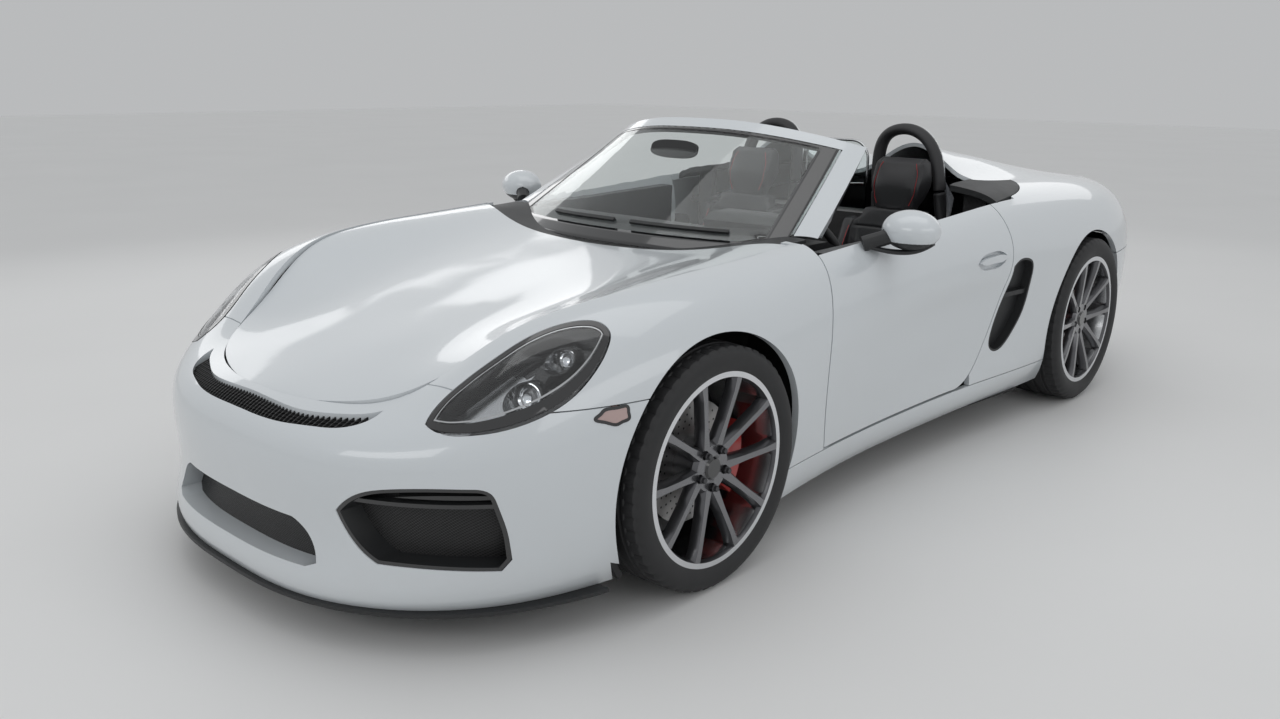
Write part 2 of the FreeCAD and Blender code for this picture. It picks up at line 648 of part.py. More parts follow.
skin_clear = skin + seat_gap
lid_clear = lid_skin + moving_gap
front_over_span = front_span(-12, 12)
rear_over_span = rear_span(11, 35)
front_over = slab(front_ring, -lift, skin_clear, front_over_span)
rear_over = slab(rear_ring, -lift, skin_clear, rear_over_span)
scuttle_zone = box(-scuttle_half, scuttle_half, trunk_rear_y, cowl_rear_y, 0, top_z)
bonnet_room = slab(bonnet_net, -lift, lid_clear).common(bonnet_hole.fuse(scuttle_zone))
lid_room = slab(lid_net, -lift, lid_clear).common(lid_hole)
tub = cut(fuse(tub_parts), both(front_arch) + both(rear_arch))
for tool in (front_over, rear_over, bonnet_room, lid_room):
    tub = solids(tub.cut(tool))[0]

# Front frame: luggage box, undertrays and shelves over the wheels
front_parts = [
    box(-trunk_half, trunk_half, trunk_front_y, bulkhead_y, trunk_floor, trunk_floor + wall),
    box(-trunk_half, trunk_half, trunk_front_y, trunk_front_y + wall, trunk_floor, wall_top),
    box(-trunk_half, trunk_half, trunk_rear_y, trunk_rear_y + wall, trunk_floor, tub_top),
    box(-half_width, half_width, nose_y, trunk_front_y + wall, floor_bottom, floor_bottom + tray_thick),
    box(-trunk_half, trunk_half, trunk_front_y, bulkhead_y, floor_bottom, floor_bottom + tray_thick),
    box(-half_width, half_width, nose_y, trunk_front_y, beam_low, beam_high),
]
for part in (
        box(trunk_half - wall, half_width, front_shelf_y, bulkhead_y, shelf_top - shelf_thick, shelf_top),
        box(trunk_half - wall, trunk_half, trunk_front_y, bulkhead_y, floor_bottom, shelf_top)):
    front_parts += both(part)
front_frame = cut(fuse(front_parts), both(front_arch))
for tool in (front_over, bonnet_room, tub):
    front_frame = solids(front_frame.cut(tool))[0]

rear_beam_top = rear_trunk_floor + beam_depth

# Rear frame: engine bay rails, rear luggage box and shelves over the wheels
rear_parts = [
    box(-rear_rail_half, rear_rail_half, rear_trunk_y, rear_trunk_end, rear_trunk_floor,
        rear_trunk_floor + wall),
    box(-rear_rail_half, rear_rail_half, rear_trunk_y, rear_trunk_y + wall, rear_trunk_floor, tub_top),
    box(-rear_rail_half, rear_rail_half, rear_trunk_end - wall, rear_trunk_end, rear_trunk_floor, tub_top),
    box(-rear_rail_half, rear_rail_half, rear_wall_y, rear_tray_y, floor_bottom, floor_bottom + tray_thick),
    box(-half_width, half_width, rear_trunk_end - wall, tail_y, rear_trunk_floor, rear_beam_top),
    box(-deck_joint_x, deck_joint_x, rear_trunk_end - wall, tail_y, deck_joint_z - wall,
        deck_joint_z + wall),
]
for part in (
        box(rear_rail_half - wall, half_width, rear_shelf_y, rear_beam_y, shelf_top,
            shelf_top + shelf_thick),
        box(rear_rail_half - wall, rear_rail_half, rear_wall_y, rear_trunk_end, trunk_floor,
            shelf_top + shelf_thick),
        box(rear_rail_half - wall, rear_rail_half, rear_wall_y, rear_tray_y, floor_bottom, trunk_floor),
        box(rear_rail_half - wall, half_width, rear_beam_y, rear_trunk_end, rear_trunk_floor,
            rear_beam_top)):
    rear_parts += both(part)
rear_frame = cut(fuse(rear_parts), both(rear_arch))
for tool in (rear_over, lid_room, tub):
    rear_frame = solids(rear_frame.cut(tool))[0]

# pads that the closed bonnet and rear lid rest on
pad_half = 30.0
bonnet_pad_x = 0.50 * half_width
lid_pad_x = 0.40 * half_width
bonnet_pads = [box(x - pad_half, x + pad_half, trunk_rear_y, trunk_rear_y + wall, tub_top - wall, height)
               for x in (-bonnet_pad_x, bonnet_pad_x)]
bonnet_pads.append(box(-pad_half, pad_half, trunk_front_y, trunk_front_y + wall, wall_top - wall, height))
lid_pads = [box(x - pad_half, x + pad_half, rear_trunk_end - wall, rear_trunk_end, tub_top - wall, height)
            for x in (-lid_pad_x, lid_pad_x)]
lid_pads += [box(x - pad_half, x + pad_half, rear_trunk_y, rear_trunk_y + wall, tub_top - wall, height)
             for x in (-lid_pad_x, lid_pad_x)]
bonnet_over = slab(bonnet_net, -reach, lid_skin + seat_gap)
lid_over = slab(lid_net, -reach, lid_skin + seat_gap)
bonnet_feet = [lowest(p.cut(bonnet_over)) for p in bonnet_pads]
lid_feet = [lowest(p.cut(lid_over)) for p in lid_pads]
door_feet = []
door_foot_x = door_skin_inner + foot_wide / 2
door_bottom = 0.204 * height
for foot_y in (cowl_rear_y, rear_foot_y):
    door_feet += both(box(door_foot_x - foot_wide / 2, door_foot_x + foot_wide / 2, foot_y - pad_half,
                          foot_y + pad_half, sill_joint_z - 2 * wall, door_bottom - seat_gap))
tub = solids(tub.multiFuse(bonnet_feet[:2] + door_feet))[0]
front_frame = solids(front_frame.fuse(bonnet_feet[2]))[0]
rear_frame = solids(rear_frame.multiFuse(lid_feet))[0]

# Wheels, from tyre, rim and brake disc
tyre_bead = 258.0
tyre_bulge = 14.0
tyre_shoulder = 24.0
bead_inset = 16.0
barrel_thick = 12.0
rim_inset = 10.0
flange_radius = 269.0
flange_rise = 3.0
spoke_count = 10
spoke_width = 44.0
spoke_thick = 30.0
spoke_dish = 26.0
spoke_face_share = 0.55
# along a spoke: place, width, depth of its face under the rim edge
spoke_shares = ((0.0, 1.0, 1.0), (0.40, 0.66, 0.55), (0.80, 0.68, 0.12), (1.0, 0.86, 0.0))
hub_face_share = 0.86
spoke_spread_share = 0.23
spoke_lean_share = 0.085
hub_radius = 74.0
hub_thick = 44.0
spindle_radius = 30.0
spindle_clearance = 0.4
disc_radius_front = 170.0
disc_radius_rear = 165.0
disc_thick = 28.0
cap_radius = 32.0
cap_rise = 6.0
disc_x0 = -24.0
bolt_count = 5
bolt_circle = 54.0
pocket_radius = 13.0
pocket_depth = 16.0
tyre_crown = 5.0


def revolve_x(points, centre):
    """Solid of revolution about the wheel axis from (x, radius) points."""
    outline = [V(centre.x + x, centre.y, centre.z + r) for x, r in points]
    face = Part.Face(Part.makePolygon(outline + outline[:1]))
    return face.revolve(centre, V(1, 0, 0), 360)


def tyre(centre, radius, wide):
    """Carcass of revolution: bead, bulged sidewalls and a crowned tread."""
    h = wide / 2
    bead = tyre_bead + seat_gap
    wall_foot = flange_radius + flange_rise
    wall_head = radius - tyre_shoulder / 2
    wall_middle = (wall_foot + wall_head) / 2
    tread_x = h - 1.5 * tyre_shoulder
    edge_x = h - 0.8 * tyre_shoulder
    p = [V(centre.x + x, centre.y, centre.z + r) for x, r in (
        (-h + bead_inset, bead), (-h + bead_inset, wall_foot), (-h, wall_middle),
        (-h + tyre_bulge, wall_head),
        (-edge_x, radius - tyre_crown), (-tread_x, radius - tyre_crown / 2), (0, radius),
        (tread_x, radius - tyre_crown / 2), (edge_x, radius - tyre_crown), (h - tyre_bulge, wall_head),
        (h, wall_middle), (h - bead_inset, wall_foot), (h - bead_inset, bead))]
    edges = [
        Part.makeLine(p[0], p[1]), Part.Arc(p[1], p[2], p[3]).toShape(), Part.makeLine(p[3], p[4]),
        Part.makeLine(p[4], p[5]), Part.Arc(p[5], p[6], p[7]).toShape(), Part.makeLine(p[7], p[8]),
        Part.makeLine(p[8], p[9]), Part.Arc(p[9], p[10], p[11]).toShape(), Part.makeLine(p[11], p[12]),
        Part.makeLine(p[12], p[0])]
    return Part.Face(Part.Wire(edges)).revolve(centre, V(1, 0, 0), 360)


def spoke(way, across, face_x, hub_x):
    """Tapered spoke lofted through four trapezoids, wide behind and narrow in front."""
    r0 = 0.75 * hub_radius
    r1 = tyre_bead - barrel_thick / 2
    wires = []
    for share, wide, dish_share in spoke_shares:
        front = face_x - dish_share * (face_x - hub_x)
        back = front - spoke_thick
        shoulder = front - spoke_thick / 2
        wide = wide * spoke_width
        middle = way * (r0 + share * (r1 - r0))
        face = spoke_face_share * wide / 2
        ring = [middle + across * d + V(x, 0, 0) for d, x in (
            (-wide / 2, back), (wide / 2, back), (wide / 2, shoulder), (face, front), (-face, front),
            (-wide / 2, shoulder))]
        wires.append(Part.makePolygon(ring + ring[:1]))
    return Part.makeLoft(wires, True, True)


def rim(centre, wide, disc_radius):
    """Barrel with flanges, spokes in pairs, hub with bolt pockets, brake disc; the outer side is +X."""
    h = wide / 2
    flange_in = h - bead_inset + seat_gap
    face_x = h - rim_inset
    barrel = revolve_x([
        (-face_x, tyre_bead - barrel_thick), (-face_x, flange_radius), (-flange_in, flange_radius),
        (-flange_in, tyre_bead), (flange_in, tyre_bead), (flange_in, flange_radius),
        (face_x, flange_radius), (face_x, tyre_bead - barrel_thick / 2),
        (face_x - barrel_thick, tyre_bead - barrel_thick)], centre)
    bore = spindle_radius + spindle_clearance
    hub_x = face_x - spoke_dish
    hub = revolve_x([
        (hub_x - hub_thick, bore), (hub_x, bore), (hub_x, hub_face_share * hub_radius),
        (hub_x - hub_thick / 4, hub_radius), (hub_x - hub_thick, hub_radius)], centre)
    spokes = []
    pair = 360.0 / (spoke_count / 2)
    for i in range(spoke_count):
        hand = 1 if i % 2 else -1
        turn = (i // 2) * pair + hand * spoke_spread_share * pair
        a = math.radians(hand * spoke_lean_share * pair)
        foot = V(0, -hub_radius * math.sin(a), hub_radius * math.cos(a))
        way = (V(0, 0, tyre_bead) - foot).normalize()
        across = V(0, way.z, -way.y)
        blade = spoke(way, across, face_x, hub_x)
        blade.translate(centre + foot - way * hub_radius)
        blade.rotate(centre, V(1, 0, 0), turn)
        spokes.append(blade)
    cap = revolve_x([
        (hub_x, 0), (hub_x + cap_rise, 0), (hub_x + cap_rise, cap_radius - cap_rise),
        (hub_x, cap_radius)], centre)
    bell_x = hub_x - hub_thick
    bell = revolve_x([
        (disc_x0, bore), (bell_x, bore), (bell_x, hub_radius), (disc_x0, hub_radius)], centre)
    disc = revolve_x([
        (disc_x0, bore), (disc_x0 + disc_thick, bore), (disc_x0 + disc_thick, disc_radius),
        (disc_x0, disc_radius)], centre)
    wheel = fuse([barrel, hub, bell, disc] + spokes)
    wheel = wheel.cut(axle_cylinder(centre.y, centre.z, bore, centre.x + disc_x0, centre.x + hub_x))
    for i in range(bolt_count):
        pocket = axle_cylinder(centre.y, centre.z + bolt_circle, pocket_radius,
                               centre.x + hub_x - pocket_depth, centre.x + face_x)
        pocket.rotate(centre, V(1, 0, 0), i * 360.0 / bolt_count + 180.0 / bolt_count)
        wheel = wheel.cut(pocket)
    return solids(wheel.fuse(cap))[0]


wheel_front = V(front_track / 2, axle_front, tyre_radius_front)
wheel_rear = V(rear_track / 2, axle_rear, tyre_radius_rear)
tyre_front = tyre(wheel_front, tyre_radius_front, tyre_width_front)
tyre_rear = tyre(wheel_rear, tyre_radius_rear, tyre_width_rear)
rim_front = rim(wheel_front, tyre_width_front, disc_radius_front)
rim_rear = rim(wheel_rear, tyre_width_rear, disc_radius_rear)

# Brake calipers over the discs
caliper_inner_radius = 112.0
caliper_thick = 18.0
caliper_reach = 26.0
caliper_half_angle = 32.0
caliper_angle = 98.0


def caliper(centre, disc_radius, middle):
    """Bridge over the disc edge with a pad housing each side; middle is its angle from straight ahead."""
    inner = disc_x0 - moving_gap - caliper_thick
    outer = disc_x0 + disc_thick + moving_gap + caliper_thick
    outline = [V(centre.x + inner, centre.y, centre.z + caliper_inner_radius),
               V(centre.x + outer, centre.y, centre.z + caliper_inner_radius),
               V(centre.x + outer, centre.y, centre.z + disc_radius + caliper_reach),
               V(centre.x + inner, centre.y, centre.z + disc_radius + caliper_reach)]
    face = Part.Face(Part.makePolygon(outline + outline[:1]))
    body = face.revolve(centre, V(1, 0, 0), 2 * caliper_half_angle)
    slot = revolve_x([
        (disc_x0 - moving_gap, spindle_radius), (disc_x0 + disc_thick + moving_gap, spindle_radius),
        (disc_x0 + disc_thick + moving_gap, disc_radius + moving_gap),
        (disc_x0 - moving_gap, disc_radius + moving_gap)], centre)
    body = body.cut(slot)
    body.rotate(centre, V(1, 0, 0), middle - caliper_half_angle)
    return body


caliper_front_left = caliper(wheel_front, disc_radius_front, -caliper_angle)
caliper_rear_left = caliper(wheel_rear, disc_radius_rear, caliper_angle)

# Front uprights turn about the kingpins; the rear ones are fixed
kingpin_x = 692.0
upright_half = 26.0
upright_half_y = 46.0
upright_reach = 138.0
ear_reach = 150.0
ear_half = 36.0
pin_radius = 16.0
pin_gap = 0.5
arm_thick = 24.0
arm_half_hub = 30.0
arm_half_body = 150.0
damper_radius = 38.0
damper_x = 505.0
spindle_end = 8.0


def upright(centre, x_mid):
    block = box(x_mid - upright_half, x_mid + upright_half,
                centre.y - upright_half_y, centre.y + upright_half_y,
                centre.z - upright_reach, centre.z + upright_reach)
    bell_face = centre.x + disc_x0 - moving_gap
    flange = axle_cylinder(centre.y, centre.z, hub_radius - moving_gap, x_mid, bell_face)
    spindle = axle_cylinder(centre.y, centre.z, spindle_radius, x_mid,
                            centre.x + rim_width_of(centre) / 2 - rim_inset - spoke_dish - spindle_end)
    ear_outer = centre.x + disc_x0 - moving_gap - caliper_thick - seat_gap
    ear_side = 1 if centre.y < 0 else -1
    ear_ends = sorted([centre.y, centre.y + ear_side * ear_reach])
    ear = box(x_mid - upright_half, ear_outer, ear_ends[0], ear_ends[1],
              centre.z - ear_half, centre.z + ear_half)
    return fuse([block, flange, spindle, ear])


def rim_width_of(centre):
    return tyre_width_front if centre.y < 0 else tyre_width_rear




def arm(centre, x0, x1, z0, half_body):
    """Flat wishbone from the body wall to the ball joint."""
    outline = [V(x0, centre.y - half_body, z0), V(x1, centre.y - arm_half_hub, z0),
               V(x1 + arm_half_hub, centre.y, z0), V(x1, centre.y + arm_half_hub, z0),
               V(x0, centre.y + half_body, z0), V(x0, centre.y + half_body - 2 * arm_half_hub, z0),
               V(x0 + 2 * arm_half_hub, centre.y, z0), V(x0, centre.y - half_body + 2 * arm_half_hub, z0)]
    return Part.Face(Part.makePolygon(outline + outline[:1])).extrude(V(0, 0, arm_thick))


def wishbones(centre, x_wall, x_pin, gap):
    low_z = centre.z - upright_reach - gap - arm_thick
    high_z = centre.z + upright_reach + gap
    damper = Part.makeCylinder(damper_radius, shelf_top - shelf_thick - seat_gap - low_z,
                               V(damper_of(centre), centre.y, low_z))
    low_arm = arm(centre, x_wall, x_pin, low_z, arm_half_body)
    high_arm = arm(centre, x_wall, x_pin, high_z, arm_half_body)
    return fuse([low_arm, high_arm, damper])


def damper_of(centre):
    return damper_x if centre.y < 0 else damper_x + rear_bay_inner - wheel_bay_inner - upright_half


front_suspension_left = wishbones(wheel_front, wheel_bay_inner, kingpin_x, pin_gap)
pin_reach = upright_reach + pin_gap + arm_thick
kingpin_foot = V(kingpin_x, wheel_front.y, wheel_front.z - pin_reach)
kingpin = Part.makeCylinder(pin_radius, 2 * pin_reach, kingpin_foot)
kingpin_bore = Part.makeCylinder(pin_radius + pin_gap, 2 * pin_reach, kingpin_foot)
front_suspension_left = front_suspension_left.cut(kingpin_bore)
knuckle_front_left = upright(wheel_front, kingpin_x).fuse(kingpin)
rear_upright_x = kingpin_x + (rear_track - front_track) / 2 - moving_gap
rear_arms = wishbones(wheel_rear, rear_bay_inner, rear_upright_x, 0)
rear_suspension_left = fuse([rear_arms, upright(wheel_rear, rear_upright_x)])

# Windscreen: a curved patch from the scuttle to the header
screen_thick = 5.0
frame_thick = 26.0
rebate = 6.0
screen_shares = [
    [(0.786, 1.236, 0.666), (0.735, 1.325, 0.765), (0.672, 1.405, 0.850), (0.628, 1.462, 0.922)],
    [(0.612, 1.212, 0.664), (0.565, 1.290, 0.776), (0.530, 1.362, 0.872), (0.500, 1.420, 0.955)],
    [(0.336, 1.178, 0.664), (0.315, 1.254, 0.784), (0.300, 1.325, 0.893), (0.290, 1.388, 0.984)],
    [(0.122, 1.170, 0.664), (0.118, 1.244, 0.788), (0.116, 1.314, 0.900), (0.114, 1.378, 0.991)]]
screen_net = [[spot(p) for p in row] for row in screen_shares]
screen_net = screen_net + [[V(-p.x, p.y, p.z) for p in row] for row in screen_net[::-1]]
screen_side = -1
pillar_share = 0.045
header_share = 0.90
rebate_share = 0.014
glass_share = 0.0125
frame_body = slab(screen_net, 0, frame_thick, side=screen_side)
frame_body = frame_body.cut(slab(screen_net, -overrun, frame_thick + overrun,
                                 (pillar_share, 1 - pillar_share), (0, header_share), side=screen_side))
frame_body = frame_body.cut(slab(screen_net, -overrun, rebate,
                                 (pillar_share - rebate_share, 1 - pillar_share + rebate_share),
                                 (0, header_share + rebate_share), side=screen_side))
cowl_depth = 8.0
cowl_base = lid_skin + moving_gap - seat_gap
cowl_length_shares = (0.55, 1)
cowl_width_shares = (0.06, 0.94)
under_cowl = slab(bonnet_net, cowl_depth - seat_gap, lift + skin, cowl_length_shares, cowl_width_shares)
windscreen_frame = solids(frame_body.cut(under_cowl))[0]
windscreen = slab(screen_net, rebate - seat_gap - screen_thick, rebate - seat_gap,
                  (pillar_share - glass_share, 1 - pillar_share + glass_share),
                  (0, header_share + glass_share), side=screen_side)
windscreen = solids(windscreen.cut(under_cowl))[0]
screen_zone = slab(screen_net, -lift, frame_thick + moving_gap, side=screen_side)
front_fender_left = solids(front_fender_left.cut(screen_zone))[0]
cowl = slab(bonnet_net, cowl_depth, cowl_base).common(
    box(-scuttle_half, scuttle_half, trunk_rear_y, cowl_rear_y, 0, height))
cowl = solids(cowl.cut(bonnet_hole))[0]


def side_solid(table, x0, x1):
    """Side-view polygon of shares pushed from x0 to x1."""
    points = [V(x0, along(s), z * height) for s, z in table]
    return Part.Face(Part.makePolygon(points + points[:1])).extrude(V(x1 - x0, 0, 0))


# Dashboard, console and seats
dash_half = 640.0
dash_shares = [(1.206, 0.385), (1.206, 0.640), (1.270, 0.690), (1.330, 0.690), (1.368, 0.655),
               (1.374, 0.600), (1.350, 0.530), (1.318, 0.440), (1.270, 0.385)]
steering_x = 362.0
hood_half = 165.0
hood_shares = [(1.262, 0.640), (1.280, 0.705), (1.312, 0.738), (1.350, 0.742), (1.364, 0.728), (1.352, 0.700),
               (1.340, 0.640)]
dashboard = side_solid(dash_shares, -dash_half, dash_half)
dashboard = dashboard.fuse(side_solid(hood_shares, steering_x - hood_half, steering_x + hood_half))
dashboard = dashboard.cut(box(-dash_half, dash_half, nose_y, bulkhead_y + wall + seat_gap, 0, height))
dashboard = solids(dashboard.cut(slab(screen_net, -lift, frame_thick + seat_gap, side=screen_side)))[0]
dashboard = solids(dashboard.cut(slab(bonnet_net, -lift, cowl_base + seat_gap)))[0]
floor_top = floor_bottom + floor_thick
console_half = 125.0
console_shares = [(1.275, 0.120), (1.275, 0.380), (1.320, 0.365), (1.420, 0.360), (1.560, 0.345),
                  (1.718, 0.370), (1.718, 0.120)]
centre_console = side_solid(console_shares, -console_half, console_half)
centre_console = centre_console.cut(box(-half_width, half_width, nose_y, tail_y, 0, floor_top + seat_gap))
dash_zone = side_solid(dash_shares, -half_width, half_width)
centre_console = solids(centre_console.cut(dash_zone))[0]
console_front_y = along(1.277)
centre_console = centre_console.cut(box(-half_width, half_width, nose_y, console_front_y, 0, height))
centre_console = solids(centre_console)[0]

seat_x = steering_x
seat_pad_half = 150.0
seat_half = 226.0
seat_head_half = 120.0
seat_pad_shares = [(1.430, 0.122), (1.425, 0.290), (1.450, 0.322), (1.540, 0.290), (1.604, 0.268),
                   (1.628, 0.330), (1.672, 0.560), (1.688, 0.700), (1.716, 0.700), (1.712, 0.560),
                   (1.690, 0.400), (1.655, 0.122)]
seat_bolster_shares = [(1.440, 0.122), (1.432, 0.300), (1.455, 0.340), (1.540, 0.330), (1.582, 0.330),
                       (1.612, 0.400), (1.650, 0.560), (1.676, 0.660), (1.716, 0.664), (1.712, 0.560),
                       (1.690, 0.400), (1.655, 0.122)]
seat_head_shares = [(1.688, 0.690), (1.688, 0.780), (1.700, 0.860), (1.716, 0.878), (1.730, 0.860),
                    (1.734, 0.780), (1.716, 0.690)]
seat_left = fuse([
    side_solid(seat_pad_shares, seat_x - seat_pad_half, seat_x + seat_pad_half),
    side_solid(seat_bolster_shares, seat_x + seat_pad_half, seat_x + seat_half),
    side_solid(seat_bolster_shares, seat_x - seat_half, seat_x - seat_pad_half),
    side_solid(seat_head_shares, seat_x - seat_head_half, seat_x + seat_head_half)])
seat_left = seat_left.cut(box(0, half_width, nose_y, tail_y, 0, floor_top + seat_gap))
seat_left = seat_left.cut(box(0, half_width, rear_wall_y - seat_gap, tail_y, 0, tub_top + seat_gap))
seat_left = solids(seat_left)[0]

# Steering wheel and column
column_tilt = 24.0
steering_y = along(1.437)
steering_z = 0.602 * height
steering_radius = 168.0
grip_radius = 15.0
steering_hub = 52.0
steering_hub_depth = 46.0
spoke_half = 17.0
column_radius = 24.0
column_gap = 0.5
steering_axis = V(0, math.cos(math.radians(column_tilt)), math.sin(math.radians(column_tilt)))
steering_centre = V(steering_x, steering_y, steering_z)


def tilted(shape):
    """From a wheel flat in plan to its place on the column."""
    shape.rotate(V(0, 0, 0), V(1, 0, 0), column_tilt - 90)
    shape.translate(steering_centre)
    return shape


steering_boss = Part.makeCylinder(steering_hub, steering_hub_depth, V(0, 0, -steering_hub_depth / 2))
steering_spoke = box(steering_hub / 2, steering_radius, -spoke_half, spoke_half,
                     -spoke_half / 2, spoke_half / 2)
steering_turns = (0.0, 180.0, 90.0)
steering_wheel = fuse([Part.makeTorus(steering_radius, grip_radius), steering_boss] + [
    steering_spoke.rotated(V(0, 0, 0), V(0, 0, 1), turn) for turn in steering_turns])
steering_wheel = tilted(steering_wheel)
column_length = 420.0
column = tilted(Part.makeCylinder(column_radius, column_length,
                                  V(0, 0, -steering_hub_depth / 2 - column_gap - column_length)))
column = column.cut(box(0, half_width, nose_y, bulkhead_y + wall + seat_gap, 0, height))
dashboard = solids(dashboard.fuse(column))[0]

# Roll hoops with the clear panel between them
hoop_y = along(1.750)
hoop_radius = 22.0
hoop_deep = 34.0
hoop_shares = [(0.228, 0.655), (0.222, 0.820), (0.262, 0.925), (0.372, 0.945), (0.470, 0.905),
               (0.530, 0.780), (0.560, 0.655)]
hoop_foot = tub_top + seat_gap
hoop_path = Part.BSplineCurve()
hoop_path.interpolate([V(x * half_width, hoop_y, z * height) for x, z in hoop_shares])
hoop_start = hoop_path.value(hoop_path.FirstParameter)
hoop_way = hoop_path.tangent(hoop_path.FirstParameter)[0]
hoop_side = V(0, 1, 0).cross(hoop_way)
hoop_ring = Part.Wire(Part.Ellipse(hoop_start + V(0, hoop_deep, 0), hoop_start + hoop_side * hoop_radius,
                                   hoop_start).toShape())
hoop = Part.Wire(hoop_path.toShape()).makePipeShell([hoop_ring], True, True)
hoop = hoop.cut(box(0, half_width, hoop_y - reach, hoop_y + reach, 0, hoop_foot))
roll_hoop_left = solids(hoop)[0]
deflector_thick = 6.0
deflector_half = 150.0
deflector_top = 0.900 * height
wind_deflector = box(-deflector_half, deflector_half, hoop_y - deflector_thick / 2,
                     hoop_y + deflector_thick / 2, hoop_foot, deflector_top)
corners = [e for e in wind_deflector.Edges if abs(e.CenterOfMass.z - deflector_top) < seat_gap
           and abs(abs(e.CenterOfMass.x) - deflector_half) < seat_gap]
wind_deflector = wind_deflector.makeFillet(deflector_half / 2, corners)

# Dark triangular panels behind the doors
trim_span = rear_span(12.2, 17.6)
quarter_trim_left = solids(slab(rear_ring, 0, skin, trim_span).common(
    prism(quarter_trim_runs, "z", deck_joint_z, top_z)).cut(lid_hole))[0]

# Door linings, mirrors
lining_thick = 58.0
lining_shares = [(1.246, 0.262), (1.246, 0.690), (1.400, 0.694), (1.560, 0.702), (1.655, 0.708),
                 (1.655, 0.520), (1.625, 0.360), (1.560, 0.262)]
lining_outer = door_skin_inner - seat_gap
door_lining_left = side_solid(lining_shares, lining_outer - lining_thick, lining_outer)
mirror_x = 896.0
mirror_y = along(1.356)
mirror_z = 0.738 * height
mirror_half_x = 93.0
mirror_half_z = 62.0
mirror_half_y = 76.0
mirror_glass_y = 26.0
stalk_radius = 24.0
mirror_section_shares = (-0.97, -0.80, -0.50, 0.0, 0.50, 0.80, 0.97)
sections = []
for t in mirror_section_shares:
    size = math.sqrt(1 - t * t)
    middle = V(mirror_x + t * mirror_half_x, mirror_y, mirror_z)
    sections.append(Part.Wire(Part.Ellipse(
        middle + V(0, size * mirror_half_y, 0), middle + V(0, 0, size * mirror_half_z), middle).toShape()))
head = Part.makeLoft(sections, True)
head = head.cut(box(0, 2 * half_width, mirror_y + mirror_glass_y, mirror_y + reach, 0, height))
stalk_foot_shares = (0.872, 1.318, 0.700)
stalk_foot = spot(stalk_foot_shares)
stalk_way = V(mirror_x, mirror_y, mirror_z) - stalk_foot
stalk = Part.makeCylinder(stalk_radius, stalk_way.Length, stalk_foot, stalk_way)
mirror_left = head.fuse(stalk)
mirror_span = front_span(8.0, 13.0)
mirror_left = mirror_left.cut(slab(front_ring, -seat_gap, 2 * skin, mirror_span))
mirror_left = solids(mirror_left)[0]

# Lamps
lamp_wall = 6.0
lamp_depth = 64.0
lens_thick = 4.0
flange = 14.0
lamp_span = front_span(2.0, 7.4)
lamp_room = slab(front_ring, lens_thick + seat_gap, lamp_depth, lamp_span)
housing = lamp_room.common(prism(headlamp_runs, "z", lamp_low, height))
housing = housing.cut(slab(front_ring, 0, lamp_depth - lamp_wall, lamp_span).common(
    prism(headlamp_runs, "z", lamp_low, height, -lamp_wall)))
lamp_room_side = prism(headlamp_runs, "z", lamp_low, height, -lamp_wall / 2)
ear = slab(front_ring, skin + seat_gap, skin + seat_gap + lamp_wall, lamp_span).common(
    prism(headlamp_runs, "z", lamp_low, height, flange).cut(lamp_room_side))
# black border under the lens, and two lamp tubes that look ahead
border_wide = 15.0
border_thick = 3.0
tube_wall = 3.0
tube_length = 110.0
tube_bore = 40.0
tube_way_shares = (0.25, -1, 0.10)
tube_way = V(*tube_way_shares).normalize()
tube_shares = ((0.785, 0.420, 0.512), (0.800, 0.540, 0.572))
tube_radii = (38.0, 30.0)
border = slab(front_ring, lens_thick + seat_gap, lens_thick + seat_gap + border_thick, lamp_span).common(
    prism(headlamp_runs, "z", lamp_low, height).cut(
        prism(headlamp_runs, "z", lamp_low, height, -border_wide)))
lamp_core = slab(front_ring, lens_thick + 2 * border_thick, lamp_depth - lamp_wall / 2, lamp_span)
lamp_core = lamp_core.common(lamp_room_side)
tubes = []
for place, radius in zip(tube_shares, tube_radii):
    foot = spot(place) + tube_way * (tube_length / 2)
    tube = Part.makeCylinder(radius, tube_length, foot, tube_way * -1)
    tube = tube.cut(Part.makeCylinder(radius - tube_wall, tube_length / 2 + tube_bore, foot, tube_way * -1))
    tubes.append(tube.common(lamp_core))
housing = fuse([housing, ear, border] + tubes)
headlamp_housing_left = solids(housing.cut(front_arch).cut(bonnet_hole))[0]
lens = slab(front_ring, 0, lens_thick, lamp_span).common(prism(headlamp_runs, "z", lamp_low, height))
headlamp_lens_left = solids(lens)[0]
marker_shares = [[(0.548, 0.470), (0.580, 0.486), (0.640, 0.486)], [(0.640, 0.486), (0.640, 0.462)],
                 [(0.640, 0.462), (0.600, 0.455)], [(0.600, 0.455), (0.548, 0.470)]]
marker_runs = side_runs(marker_shares)
marker_left = solids(slab(front_ring, 0, skin, lamp_span).common(
    prism(marker_runs, "x", half_width / 2, half_width + reach)))[0]
marker_hole = prism(marker_runs, "x", half_width / 2, half_width + reach, panel_gap / 3)
front_bumper = solids(cut(front_bumper, both(marker_hole)))[0]
tail_lamp_span = rear_span(16.2, 23.5)
tail_lamp_left = solids(slab(rear_ring, 0, skin, tail_lamp_span).common(
    prism(tail_lamp_runs, "y", rear_joint_y, tail_y + reach)))[0]

